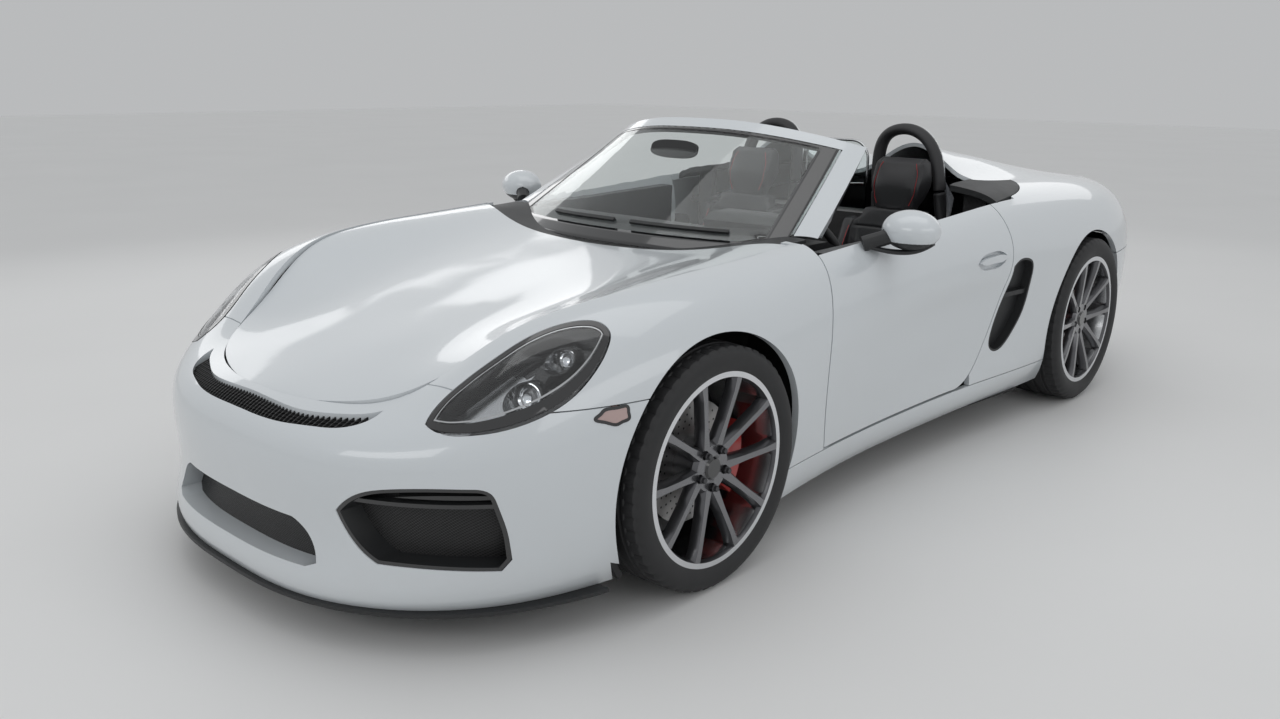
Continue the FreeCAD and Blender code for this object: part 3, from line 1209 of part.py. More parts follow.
# Grilles behind the openings, with slats in the slot under the bonnet
mesh_thick = 8.0
mesh_margin = 14.0
slat_thick = 3.0
slat_pitch = 15.0
slat_top = 8.0
centre_mesh = slab(front_ring, recess_depth + seat_gap, recess_depth + seat_gap + mesh_thick, mesh_span)
centre_mesh = solids(centre_mesh.common(
    prism(centre_intake_runs, "y", nose_y - reach, nose_y + intake_depth, mesh_margin)))[0]
slot_plate = slab(front_ring, skin + seat_gap, skin + seat_gap + mesh_thick, mesh_span)
slot_plate = slot_plate.common(prism(slot_runs, "z", slot_low, top_z, mesh_margin))
slot_plate = solids(slot_plate.cut(bonnet_hole))[0]
slot_half = 0.440 * half_width
slat_count = int(2 * slot_half / slat_pitch)
slat_places = [slat_pitch * (i - slat_count / 2) for i in range(slat_count + 1)]
slat_boxes = [box(x - slat_thick / 2, x + slat_thick / 2, nose_y - reach, trunk_front_y, slot_low, height)
              for x in slat_places]
slats = slab(front_ring, slat_top, skin + seat_gap + mesh_thick / 2, mesh_span).common(
    prism(slot_runs, "z", slot_low, top_z, -seat_gap)).common(Part.makeCompound(slat_boxes))
slot_grille = slot_plate.fuse(slats)
insert_wall = 9.0
insert_top = 2.5
insert_depth = 58.0
insert_flange = 10.0
ledge_z = 0.312 * height
ledge_thick = 10.0
lamp_bar_depth = 26.0
shelf_depth = 44.0


def through_intake(gap):
    return prism(side_intake_runs, "y", nose_y - reach, nose_y + 2 * intake_depth, gap)


intake_span = front_span(0.4, 6.6)
insert_ring = slab(front_ring, insert_top, insert_depth, intake_span).common(
    through_intake(-seat_gap).cut(through_intake(-insert_wall)))
insert_rim = slab(front_ring, skin + seat_gap, insert_depth, intake_span).common(
    through_intake(insert_flange).cut(through_intake(-insert_wall)))
opening = through_intake(-insert_wall / 2)
ledge = slab(front_ring, insert_top + ledge_thick, insert_depth, intake_span).common(opening).common(
    box(0, half_width, nose_y - reach, 0, ledge_z, ledge_z + ledge_thick))
back_shelf = slab(front_ring, shelf_depth, insert_depth, intake_span).common(opening).common(
    box(0, half_width, nose_y - reach, 0, ledge_z, height))
lamp_bar = slab(front_ring, lamp_bar_depth, insert_depth, intake_span)
lamp_bar = lamp_bar.common(through_intake(-3 * insert_wall)).common(
    box(0, half_width, nose_y - reach, 0, ledge_z + 1.6 * ledge_thick, height))
intake_insert_left = solids(fuse([insert_ring, insert_rim, ledge, back_shelf, lamp_bar]))[0]
side_mesh = slab(front_ring, insert_depth + seat_gap, insert_depth + seat_gap + mesh_thick, intake_span)
side_mesh = solids(side_mesh.common(through_intake(insert_flange)))[0]
front_grilles = [centre_mesh, slot_grille] + both(side_mesh)

# Side air intakes: a rim ring, a blade across and a plate set back
ring_depth = 38.0
ring_wall = 8.0
ring_top = 1.0
blade_z = 0.460 * height
blade_half = 9.0


def through_quarter(gap):
    return prism(quarter_intake_runs, "x", 0, half_width + reach, gap)


ring_span = rear_span(12.2, 16.0)
intake_ring = slab(rear_ring, ring_top, ring_depth, ring_span).common(
    through_quarter(-seat_gap).cut(through_quarter(-ring_wall)))
intake_plate = slab(rear_ring, ring_depth - mesh_thick / 2, ring_depth + mesh_thick, ring_span).common(
    through_quarter(mesh_margin / 2))
intake_blade = slab(rear_ring, ring_top + blade_half, ring_depth, ring_span).common(
    through_quarter(-ring_wall / 2)).common(
        box(0, half_width + reach, 0, axle_rear, blade_z - blade_half, blade_z + blade_half))
intake_flange = slab(rear_ring, skin + seat_gap, ring_depth, ring_span).common(
    through_quarter(mesh_margin / 2).cut(through_quarter(-ring_wall)))
side_intake_left = solids(fuse([intake_ring, intake_flange, intake_plate, intake_blade]).cut(door_hole))[0]

# Splitter, diffuser and exhaust
splitter_thick = 10.0
splitter_out = 6.0
splitter_rear_y = along(0.56)
lip_v = 0.06
bumper_bottom = 0.094 * height
nose_surface = patch(front_ring)
edge = []
edge_stations = (0, 1, 2, 3, 4, 5, 5.6)
for k in [-k for k in edge_stations[:0:-1]] + list(edge_stations):
    u = (stations - 2 + k) / (2 * stations - 4)
    edge.append(nose_surface.value(u, lip_v) + nose_surface.normal(u, lip_v) * splitter_out)
edge = [V(p.x, p.y, bumper_bottom - seat_gap) for p in edge]
rim_edge = Part.BSplineCurve()
rim_edge.interpolate(edge)
back_edge = Part.LineSegment(edge[-1], edge[0])
splitter_face = Part.Face(Part.Wire([rim_edge.toShape(), back_edge.toShape()]))
front_splitter = splitter_face.extrude(V(0, 0, -splitter_thick))
below_bumper = box(-half_width, half_width, nose_y - reach, axle_front, 0, bumper_bottom)
front_bumper = solids(front_bumper.cut(below_bumper))[0]
diffuser_half = 0.560 * half_width
diffuser_top = 0.235 * height
rear_diffuser = solids(rear_skin.common(
    box(-diffuser_half, diffuser_half, rear_joint_y, tail_y + reach, 0, diffuser_top)))[0]
diffuser_side = diffuser_half + panel_gap
rear_bumper = solids(rear_bumper.cut(
    box(-diffuser_side, diffuser_side, rear_joint_y, tail_y + reach, 0, diffuser_top + panel_gap)))[0]
pipe_radius = 44.0
pipe_wall = 3.0
pipe_x = 58.0
pipe_z = 0.206 * height
pipe_front_y = along(2.72)
pipe_rear_y = along(2.985)
pipe_bore_y = along(2.840)
pipe_length = pipe_rear_y - pipe_front_y
pipe = Part.makeCylinder(pipe_radius, pipe_length, V(pipe_x, pipe_front_y, pipe_z), V(0, 1, 0))
pipe_bore = Part.makeCylinder(pipe_radius - pipe_wall, pipe_length, V(pipe_x, pipe_bore_y, pipe_z),
                              V(0, 1, 0))
muffler_half = 250.0
muffler_front_y = along(2.550)
muffler_rear_y = along(2.760)
muffler_drop = 57.0
muffler = box(-muffler_half, muffler_half, muffler_front_y, muffler_rear_y, pipe_z - muffler_drop,
              rear_trunk_floor - seat_gap)
exhaust = cut(fuse([muffler] + both(pipe)), both(pipe_bore))
rear_diffuser = cut(rear_diffuser, both(Part.makeCylinder(
    pipe_radius + seat_gap, reach * 3, V(pipe_x, pipe_front_y, pipe_z), V(0, 1, 0))))
rear_bumper = cut(rear_bumper, both(Part.makeCylinder(
    pipe_radius + panel_gap, reach * 3, V(pipe_x, pipe_front_y, pipe_z), V(0, 1, 0))))
rear_diffuser = solids(rear_diffuser)[0]

# Engine block and wipers
engine_half = 300.0
engine_front_y = along(1.785)
engine_rear_y = along(2.100)
engine_top = 0.470 * height
engine_foot = floor_bottom + tray_thick + seat_gap
powertrain = box(-engine_half, engine_half, engine_front_y, engine_rear_y, engine_foot, engine_top)
wiper_thick = 9.0
wiper_v_shares = (0.140, 0.158)
wiper_u_shares = ((0.13, 0.43), (0.50, 0.80))
wiper_pin_radius = 8.0
wipers = []
for u0, u1 in wiper_u_shares:
    blade = slab(screen_net, -wiper_thick, rebate - 2 * seat_gap - screen_thick, (u0, u1), wiper_v_shares,
                 side=screen_side)
    wipers.append(blade)

nodes = {
    "tub": [tub],
    "front_frame": [front_frame],
    "rear_frame": [rear_frame],
    "front_bumper": [front_bumper],
    "front_grilles": front_grilles,
    "intake_inserts": both(intake_insert_left),
    "front_splitter": [front_splitter],
    "headlamp_housings": both(headlamp_housing_left),
    "headlamp_lenses": both(headlamp_lens_left),
    "front_marker_lamps": both(marker_left),
    "windscreen_frame": [windscreen_frame],
    "windscreen": [windscreen],
    "cowl": [cowl],
    "wipers": wipers,
    "side_skirts": both(side_skirt_left),
    "side_intakes": both(side_intake_left),
    "rear_bumper": [rear_bumper],
    "rear_diffuser": [rear_diffuser],
    "tail_lamps": both(tail_lamp_left),
    "rear_spoiler": [rear_spoiler],
    "exhaust": [exhaust],
    "roll_hoops": both(roll_hoop_left),
    "wind_deflector": [wind_deflector],
    "quarter_trims": both(quarter_trim_left),
    "dashboard": [dashboard],
    "centre_console": [centre_console],
    "powertrain": [powertrain],
    "front_suspension": both(front_suspension_left),
    "rear_suspension": both(rear_suspension_left),
    "calipers_rear": both(caliper_rear_left),
    "bonnet": [bonnet],
    "rear_lid": [rear_lid],
    "steering_wheel": [steering_wheel],
}
pairs = {
    "front_fender": front_fender_left,
    "rear_quarter": rear_quarter_left,
    "door": door_left,
    "door_lining": door_lining_left,
    "mirror": mirror_left,
    "seat": seat_left,
    "tyre_front": tyre_front,
    "tyre_rear": tyre_rear,
    "rim_front": rim_front,
    "rim_rear": rim_rear,
    "caliper_front": caliper_front_left,
    "knuckle_front": knuckle_front_left,
}
for name, left in pairs.items():
    nodes[name + "_left"] = [left]
    nodes[name + "_right"] = [mirrored(left)]
for name, shapes in nodes.items():
    save(name, shapes)
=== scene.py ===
import json
import math

import bmesh
import bpy
import numpy as np
from mathutils import Matrix, Vector
from mathutils.bvhtree import BVHTree

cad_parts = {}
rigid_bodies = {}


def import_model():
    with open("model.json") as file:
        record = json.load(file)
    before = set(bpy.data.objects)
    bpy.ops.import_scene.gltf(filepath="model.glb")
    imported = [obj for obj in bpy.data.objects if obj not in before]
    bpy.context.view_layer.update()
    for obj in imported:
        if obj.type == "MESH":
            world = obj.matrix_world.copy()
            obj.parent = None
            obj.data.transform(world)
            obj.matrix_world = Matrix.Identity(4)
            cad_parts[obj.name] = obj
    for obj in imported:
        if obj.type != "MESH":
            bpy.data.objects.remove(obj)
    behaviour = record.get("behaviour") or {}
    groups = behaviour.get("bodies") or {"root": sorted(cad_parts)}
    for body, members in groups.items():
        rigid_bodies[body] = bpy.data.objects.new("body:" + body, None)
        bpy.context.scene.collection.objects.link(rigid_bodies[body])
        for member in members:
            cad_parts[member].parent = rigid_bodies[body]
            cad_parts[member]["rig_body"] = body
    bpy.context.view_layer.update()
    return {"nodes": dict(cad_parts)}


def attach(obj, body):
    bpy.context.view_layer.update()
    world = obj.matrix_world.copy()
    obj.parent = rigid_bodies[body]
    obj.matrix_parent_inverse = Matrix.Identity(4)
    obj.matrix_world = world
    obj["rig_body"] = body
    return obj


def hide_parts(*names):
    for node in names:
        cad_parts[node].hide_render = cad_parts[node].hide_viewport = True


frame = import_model()

# Overall sizes of the roadster, in metres, as in the part's source
height = 1.200
half_width = 0.9005
half_length = 2.207
deck_half = 0.955 * half_width
axle_front = -1.282
axle_rear = 1.193
tyre_front = (0.336, 0.235)
tyre_rear = (0.347, 0.265)
seat_x = 0.362
sides = (("left", 1), ("right", -1))

# Stations of the body from nose to tail. In thousandths: half width, place along the car; then the way
# that the insets run, in degrees; then ten insets and ten heights from sill to shoulder, in thousandths.
section_shares = [
    [0, 0, 90, 4, -30, 22, 20, 8, 16, 75, 170, 270, 380, 85, 120, 188, 270, 350, 412, 452, 475, 498, 522],
    [190, 0, 90, 4, -30, 22, 20, 8, 16, 75, 170, 270, 380, 85, 120, 188, 270, 350, 412, 452, 475, 498, 522],
    [390, 30, 82, 6, -26, 22, 20, 8, 18, 75, 165, 265, 370, 85, 120, 190, 270, 350, 410, 444, 466, 490, 515],
    [600, 115, 64, 24, -8, 18, 16, 8, 18, 72, 160, 260, 365, 85, 120, 190, 270, 350, 412, 448, 478, 510, 540],
    [785, 262, 44, 54, 16, 14, 10, 4, 14, 65, 150, 250, 365, 85, 122, 190, 270, 350, 428, 482, 535, 578, 594],
    [908, 450, 24, 80, 40, 18, 6, 0, 10, 55, 135, 240, 370, 88, 125, 190, 270, 360, 448, 530, 602, 634, 632],
    [975, 690, 9, 85, 46, 18, 4, 0, 8, 55, 150, 270, 410, 95, 138, 210, 300, 400, 495, 590, 668, 678, 660],
    [996, 1000, 0, 55, 30, 12, 3, 0, 6, 50, 160, 290, 440, 105, 160, 240, 330, 430, 530, 628, 700, 700, 680],
    [980, 1110, 0, 70, 40, 22, 10, 0, 4, 45, 150, 280, 430, 105, 155, 235, 330, 430, 535, 635, 708, 712, 700],
    [960, 1220, 0, 90, 50, 38, 22, 5, 0, 30, 110, 220, 370, 105, 150, 230, 330, 430, 535, 640, 712, 725, 720],
    [955, 1350, 0, 110, 55, 52, 36, 18, 0, 22, 80, 165, 300, 105, 150, 235, 335, 470, 540, 640, 712, 735, 735],
    [957, 1480, 0, 110, 50, 60, 48, 34, 0, 20, 78, 160, 300, 105, 152, 238, 340, 490, 545, 645, 720, 745, 745],
    [964, 1600, 0, 105, 40, 66, 62, 40, 0, 22, 85, 170, 310, 108, 155, 240, 355, 485, 550, 655, 735, 760, 765],
    [978, 1710, 0, 95, 30, 50, 50, 30, 0, 30, 105, 200, 340, 112, 160, 245, 360, 490, 555, 668, 752, 778, 790],
    [993, 1830, 0, 80, 30, 18, 10, 2, 2, 45, 130, 240, 380, 115, 170, 255, 355, 460, 570, 680, 762, 780, 790],
    [1000, 2000, 0, 75, 35, 14, 3, 0, 6, 55, 155, 275, 420, 120, 185, 270, 370, 475, 585, 690, 765, 780, 790],
    [992, 2240, -4, 80, 40, 16, 4, 0, 6, 55, 155, 275, 420, 125, 190, 275, 375, 480, 585, 685, 755, 770, 780],
    [965, 2440, -12, 85, 45, 18, 4, 0, 8, 55, 150, 265, 410, 130, 195, 280, 375, 480, 580, 670, 735, 757, 768],
    [900, 2660, -28, 90, 45, 18, 4, 0, 10, 55, 135, 240, 380, 140, 200, 285, 380, 480, 570, 650, 715, 745, 757],
    [760, 2850, -52, 95, 50, 18, 4, 2, 14, 60, 115, 210, 350, 150, 210, 290, 380, 470, 555, 630, 700, 735, 750],
    [560, 2945, -72, 100, 50, 18, 4, 4, 20, 70, 110, 200, 340, 160, 220, 295, 385, 470, 545, 620, 695, 730, 745],
    [360, 2985, -84, 105, 50, 18, 2, 4, 24, 75, 112, 200, 340, 165, 225, 300, 390, 470, 540, 615, 692, 728, 742],
    [170, 3000, -90, 105, 50, 18, 2, 4, 24, 75, 112, 200, 340, 165, 225, 300, 390, 470, 540, 615, 692, 728, 742],
    [0, 3000, -90, 105, 50, 18, 2, 4, 24, 75, 112, 200, 340, 165, 225, 300, 390, 470, 540, 615, 692, 728, 742],
]

# Heights from the centre line outwards, in thousandths, one row for each station from front to rear
bonnet_heights = [
    [444, 433, 415, 368, 302, 233, 166],
    [466, 459, 455, 424, 369, 308, 245],
    [494, 493, 492, 483, 449, 387, 321],
    [530, 532, 527, 551, 562, 480, 396],
    [558, 562, 562, 603, 659, 577, 472],
    [584, 589, 589, 619, 694, 642, 543],
    [607, 611, 614, 638, 705, 670, 586],
    [627, 631, 635, 658, 713, 680, 601],
    [647, 650, 654, 673, 718, 682, 600],
    [669, 671, 675, 692, 725, 686, 597],
    [686, 687, 688, 706, 729, 690, 600],
    [698, 699, 701, 718, 731, 691, 609],
    [710, 713, 722, 734, 730, 690, 622],
]
lid_heights = [
    [814, 832, 895, 908, 828, 776, 748, 726, 705],
    [794, 813, 903, 925, 821, 773, 763, 735, 705],
    [777, 798, 887, 905, 815, 769, 771, 738, 704],
    [757, 774, 859, 874, 802, 768, 772, 737, 702],
    [745, 761, 841, 853, 798, 773, 770, 735, 699],
    [741, 753, 817, 825, 790, 775, 767, 730, 690],
    [733, 742, 793, 799, 776, 768, 757, 717, 673],
    [730, 736, 772, 775, 763, 761, 734, 691, 648],
    [723, 727, 748, 749, 744, 744, 690, 654, 621],
    [730, 731, 738, 739, 736, 730, 665, 629, 597],
    [719, 714, 703, 701, 703, 718, 674, 624, 577],
    [763, 767, 770, 775, 759, 732, 685, 624, 561],
]


# ------------------------------------------------------------------ meshes

def in_scene(name, data):
    """New object in the scene around a mesh, lamp or camera."""
    made = bpy.data.objects.new(name, data)
    bpy.context.scene.collection.objects.link(made)
    return made


def new_piece(name, points, faces, smooth=True):
    """Piece from an (n, 3) array of points and an array of faces."""
    mesh = bpy.data.meshes.new(name)
    mesh.from_pydata(np.asarray(points, float).tolist(), [], np.asarray(faces).tolist())
    mesh.validate()
    if smooth:
        mesh.shade_smooth()
    return in_scene(name, mesh)


def grid_faces(rows, columns, round_rows=False, round_columns=False):
    """Quads between the points of a rows by columns grid, closed round either way on request."""
    i = np.arange(rows if round_rows else rows - 1)
    j = np.arange(columns if round_columns else columns - 1)
    i, j = [a.ravel() for a in np.meshgrid(i, j, indexing="ij")]
    i2, j2 = (i + 1) % rows, (j + 1) % columns
    return np.stack([i * columns + j, i2 * columns + j, i2 * columns + j2, i * columns + j2], 1)


def sharpen(mesh, degrees):
    """Hard edges where faces meet more steeply than this."""
    mesh.set_sharp_from_angle(angle=math.radians(degrees))


def grid_piece(name, points, round_rows=False, round_columns=False, sharp=None):
    """Piece from a rows by columns by 3 array of points."""
    rows, columns = points.shape[:2]
    piece = new_piece(name, points.reshape(-1, 3), grid_faces(rows, columns, round_rows, round_columns))
    if sharp:
        sharpen(piece.data, sharp)
    return piece


def read(items, name, width=3, kind=np.float32):
    """One value of all vertices, corners or faces of a mesh, as an array."""
    values = np.zeros(len(items) * width, kind)
    items.foreach_get(name, values)
    return values.reshape(-1, width) if width > 1 else values


def positions(mesh):
    return read(mesh.vertices, "co").astype(float)


def move_points(piece, points):
    piece.data.vertices.foreach_set("co", points.ravel())


def unit(vectors):
    """A vector, or each row of an array, at length 1."""
    vectors = np.asarray(vectors, float)
    return vectors / np.linalg.norm(vectors, axis=-1, keepdims=True)


def full_turn(count):
    """Evenly spaced angles of one turn."""
    return np.linspace(0, 2 * math.pi, count, endpoint=False)


# ------------------------------------------------------------ body surfaces

def along(s):
    """Length position of a share: 0 nose, 1 front axle, 2 rear axle, 3 tail."""
    return np.interp(s, [0, 1, 2, 3], [-half_length, axle_front, axle_rear, half_length])


def clamped_knots(count):
    return np.concatenate([[0, 0, 0], np.linspace(0, 1, count - 2), [1, 1, 1]])


def spline_matrix(count, samples):
    """Values of the clamped cubic B-spline functions: a row per sample, a column per control point."""
    knots = clamped_knots(count)
    t = np.clip(samples, 0, 1 - 1e-9)[:, None]
    basis = ((knots[:-1] <= t) & (t < knots[1:])).astype(float)
    for degree in (1, 2, 3):
        rise = np.zeros((len(samples), len(knots) - 1 - degree))
        fall = rise.copy()
        wide = knots[degree:-1] - knots[:-degree - 1]
        np.divide((t - knots[:-degree - 1]) * basis[:, :-1], wide, out=rise, where=wide > 0)
        wide = knots[degree + 1:] - knots[1:-degree]
        np.divide((knots[degree + 1:] - t) * basis[:, 1:], wide, out=fall, where=wide > 0)
        basis = rise + fall
    return basis


def spline_points(net, u, v):
    """Points of the cubic surface over a control net, one for each pair of parameters u, v."""
    u, v = np.broadcast_arrays(np.asarray(u, float), np.asarray(v, float))
    first, second = spline_matrix(net.shape[0], u.ravel()), spline_matrix(net.shape[1], v.ravel())
    return np.einsum("ni,ijk,nj->nk", first, net, second).reshape(u.shape + (3,))


def spline_normals(net, u, v, step=1e-3):
    """Unit normals of that surface, from differences of its points, turned to look up."""
    along_u = spline_points(net, u + step, v) - spline_points(net, u - step, v)
    along_v = spline_points(net, u, v + step) - spline_points(net, u, v - step)
    normal = unit(np.cross(along_u, along_v))
    return normal * np.where(normal[..., 2:] < 0, -1, 1)


def smooth_path(points, count):
    """Cubic B-spline curve with the given control points, as count points."""
    points = np.asarray(points, float)
    return spline_matrix(len(points), np.linspace(0, 1, count)) @ points


def ring_net(*halves):
    """Control net round the body: the stations of one side, then of the other, each from sill to shoulder."""
    rows = []
    for flip, stations in halves:
        for x, s, heading, *shares in stations:
            inset, z = np.array(shares).reshape(2, 10) / 1000
            angle = math.radians(heading)
            px = (x / 1000 - inset * math.cos(angle)) * half_width * (1 if x else 0)
            py = along(s / 1000) + inset * half_width * math.sin(angle)
            rows.append(np.stack([flip * px, py, z * height], 1))
    return np.array(rows)


def greville(count):
    """Places of the control points along the spline's parameter."""
    knots = clamped_knots(count)
    return (knots[1:count + 1] + knots[2:count + 2] + knots[3:count + 3]) / 3


def height_net(table, start, end):
    """Control net of a height field between two length shares, mirrored about the centre line."""
    table = np.array(table) / 1000
    full = np.concatenate([table[:, :0:-1], table], 1) * height
    x = deck_half * (1 - 2 * greville(full.shape[1]))
    y = along(start) + (along(end) - along(start)) * greville(full.shape[0])
    return np.stack(np.broadcast_arrays(x[None, :], y[:, None], full), 2)


def form_object(name, net, rows, columns):
    """Fine smooth surface over a control net, used only to shape others and then removed."""
    u, v = np.meshgrid(np.linspace(0, 1, rows), np.linspace(0, 1, columns), indexing="ij")
    return grid_piece(name, spline_points(net, u, v))


# ------------------------------------------------------------ shape builders

def lathe(name, profile, centre, axis, segments=48):
    """Solid of revolution: centre + a axis + r (cos t side + sin t up) for each profile point (a, r)."""
    axis = unit(axis)
    side = unit(np.cross(axis, (0, 0, 1) if abs(axis[2]) < 0.9 else (1, 0, 0)))
    t = full_turn(segments)[:, None, None]
    a, r = np.asarray(profile, float).T[:, None, :, None]
    spokes = np.cos(t) * side + np.sin(t) * np.cross(axis, side)
    return grid_piece(name, np.asarray(centre, float) + a * axis + r * spokes, round_rows=True, sharp=40)


def tube(name, path, radius, segments=12, flat=1.0):
    """Rod p(s) + r(s) (cos t side + flat sin t up) about a path, closed at both ends by r falling to zero."""
    path = np.asarray(path, float)
    way = unit(np.gradient(path, axis=0))
    side = np.cross(way, (0, 0, 1))
    side /= np.linalg.norm(side, axis=1, keepdims=True) + 1e-12
    up = np.cross(side, way)
    r = np.broadcast_to(np.asarray(radius, float), len(path)).copy()
    path, side, up, r = [np.concatenate([a[:1], a, a[-1:]]) for a in (path, side, up, r)]
    r[0] = r[-1] = 1e-5
    t = full_turn(segments)[None, :, None]
    ring = np.cos(t) * side[:, None] + flat * np.sin(t) * up[:, None]
    return grid_piece(name, path[:, None] + r[:, None, None] * ring, round_columns=True, sharp=50)


def plate(name, centre, right, up, half, thick, power=4.0, rim=0.8, segments=48):
    """Soft-edged plate: centre + s (a c^(2/n) right + b d^(2/n) up) + e out, c = cos t, d = sin t."""
    right, up = unit(right), unit(up)
    out = np.cross(right, up)
    t = full_turn(segments)[:, None, None]
    c, d = [np.sign(f(t)) * np.abs(f(t)) ** (2 / power) for f in (np.cos, np.sin)]
    soft = 0.12
    rings = np.array([(0, 0), (1, 0), (1, thick * rim), (1 - soft * 0.4, thick * 0.96), (1 - soft, thick),
                      (0, thick)])
    s, e = np.maximum(rings[:, 0], 1e-4)[None, :, None], rings[:, 1][None, :, None]
    points = np.asarray(centre, float) + s * (half[0] * c * right + half[1] * d * up) + e * out
    return grid_piece(name, points, round_rows=True, sharp=30)


def ribbon(name, path, across, wide, thick, count=60):
    """Flat webbing: a rounded strip swept along a path, its width along the given direction."""
    path = smooth_path(path, count)
    way = unit(np.gradient(path, axis=0))
    across = np.asarray(across, float)
    across = unit(across - way * (way @ across)[:, None])
    t = full_turn(16)
    a = (wide / 2 * np.sign(np.cos(t)) * np.abs(np.cos(t)) ** 0.25)[None, :, None]
    b = (thick / 2 * np.sin(t))[None, :, None]
    ends = np.ones((count, 1, 1))
    ends[[0, -1]] = 1e-3
    section = a * across[:, None] + b * np.cross(way, across)[:, None]
    return grid_piece(name, path[:, None] + section * ends, round_columns=True)


def soft_patch(name, corners, bulge, seams):
    """Stuffed panel: blend of four corners plus b (1 - s^2)(1 - t^4) along its normal, less its seams."""
    s, t = np.meshgrid(np.linspace(0, 1, 40), np.linspace(0, 1, 60), indexing="ij")
    c = np.array(corners, float)
    shares = ((1 - s) * (1 - t), (1 - s) * t, s * t, s * (1 - t))
    flat = sum(share[..., None] * corner for share, corner in zip(shares, c))
    normal = unit(np.cross(c[2] - c[0], c[3] - c[1]))
    tall = bulge * (1 - (2 * s - 1) ** 2) * (1 - (2 * t - 1) ** 4)
    for at in seams:
        tall = tall - 0.6 * bulge * np.exp(-((t - at - 0.06 * s) / 0.018) ** 2)
    front, back = flat + tall[..., None] * normal, flat - 0.004 * normal
    return grid_piece(name, np.concatenate([front, back[:, ::-1]], 1), round_columns=True)


def closed_curve(points, count):
    """Smooth closed curve through the given points: cubic blend of each four in a row."""
    points = np.asarray(points, float)
    s = np.arange(count) * len(points) / count
    i = np.floor(s).astype(int)
    f = (s - i)[:, None]
    a, b, c, d = [points[(i + k) % len(points)] for k in (-1, 0, 1, 2)]
    return b + 0.5 * f * (c - a + f * (2 * a - 5 * b + 4 * c - d + f * (3 * (b - c) + d - a)))


def surface_drop(form, starts, way):
    """Where rays from the given points first meet a piece; a point whose ray misses stays."""
    tree = BVHTree.FromPolygons(positions(form.data).tolist(), [list(p.vertices) for p in form.data.polygons])
    starts = np.asarray(starts, float).tolist()
    return np.array([tree.ray_cast(Vector(p), Vector(way))[0] or p for p in starts])


def outline_band(name, loop, insets, lift, thick, way, order=(0, 1, 2), start=1.5):
    """Band on the front form along a closed outline, between two insets; order places the outline's axes."""
    ahead = np.roll(loop, -1, 0) - np.roll(loop, 1, 0)
    side = unit(np.stack([-ahead[:, 1], ahead[:, 0]], 1))
    if ((loop + side * 0.01 - loop.mean(0)) ** 2).sum() > ((loop - loop.mean(0)) ** 2).sum():
        side = -side
    outer, inner = insets
    rows = []
    for inset, rise in ((outer, lift), (outer, lift + thick), ((inner + outer) / 2, lift + thick),
                        (inner, lift + thick), (inner, lift)):
        starts = np.column_stack([loop + side * inset, np.full(len(loop), start)])[:, order]
        rows.append(surface_drop(front_form, starts, way) - np.asarray(way, float) * rise)
    return grid_piece(name, np.stack(rows, 1), True, True, 30)


# ------------------------------------------------------------ finishing pieces

def finish(piece, material, body="body"):
    """Gives a piece its material and the body that it rides."""
    piece.data.materials.append(material)
    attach(piece, body)
    return piece


def on_both_sides(piece, material, body="body"):
    """Finishes a left piece and makes its mirror image on the right."""
    mesh = piece.data.copy()
    mesh.name = piece.name.replace("_left", "") + "_right"
    mesh.vertices.foreach_set("co", (positions(mesh) * (-1, 1, 1)).ravel())
    mesh.flip_normals()
    twin = in_scene(mesh.name, mesh)
    finish(piece, material, body)
    finish(twin, material, body.replace("left", "right"))
    return piece, twin


def skin(node):
    """The dressed copy of a CAD node, and the centres and normals of its faces."""
    piece = bpy.data.objects[node + "_skin"]
    return piece, read(piece.data.polygons, "center"), read(piece.data.polygons, "normal")


def refinish(piece, material, chosen):
    """Another finish for the faces where chosen is true."""
    index = read(piece.data.polygons, "material_index", 1, np.int32)
    piece.data.materials.append(material)
    index[chosen] = len(piece.data.materials) - 1
    piece.data.polygons.foreach_set("material_index", index)


# ---------------------------------------------------------------- materials

FLOAT = "NodeSocketFloat"
COLOUR = "NodeSocketColor"
VECTOR = "NodeSocketVector"


def feed(tree, made, values):
    """Links or sets inputs of a shader node by name or number."""
    for key, value in values.items():
        if isinstance(value, bpy.types.NodeSocket):
            tree.links.new(value, made.inputs[key])
        else:
            made.inputs[key].default_value = value


def wire(tree, kind, inputs=None, **settings):
    """Adds a shader node with its own settings and inputs."""
    made = tree.nodes.new("ShaderNode" + kind)
    for key, value in settings.items():
        setattr(made, key, value)
    feed(tree, made, inputs or {})
    return made


def shader_group(name, inputs, outputs, build):
    """Node group with inputs given as {name: (socket type, value)}; build returns one socket per output."""
    tree = bpy.data.node_groups.new(name, "ShaderNodeTree")
    for key, (kind, value) in inputs.items():
        tree.interface.new_socket(key, in_out="INPUT", socket_type=kind).default_value = value
    for key, kind in outputs.items():
        tree.interface.new_socket(key, in_out="OUTPUT", socket_type=kind)
    start = tree.nodes.new("NodeGroupInput")
    end = tree.nodes.new("NodeGroupOutput")
    for socket, made in zip(end.inputs, build(tree, start.outputs)):
        tree.links.new(made, socket)
    return tree


def place(tree):
    return wire(tree, "TexCoord").outputs["Object"]


def axes(tree, vector):
    return wire(tree, "SeparateXYZ", {"Vector": vector}).outputs


def noise(tree, scale, detail=2.0):
    return wire(tree, "TexNoise", {"Vector": place(tree), "Scale": scale, "Detail": detail}).outputs["Fac"]


def maths(tree, operation, *values):
    return wire(tree, "Math", dict(enumerate(values)), operation=operation).outputs[0]


def length(tree, first, second):
    squares = [maths(tree, "MULTIPLY", value, value) for value in (first, second)]
    return maths(tree, "SQRT", maths(tree, "ADD", *squares))


def blend_colour(tree, factor, first, second, blend="MIX"):
    return wire(tree, "Mix", {0: factor, 6: first, 7: second}, data_type="RGBA", blend_type=blend).outputs[2]


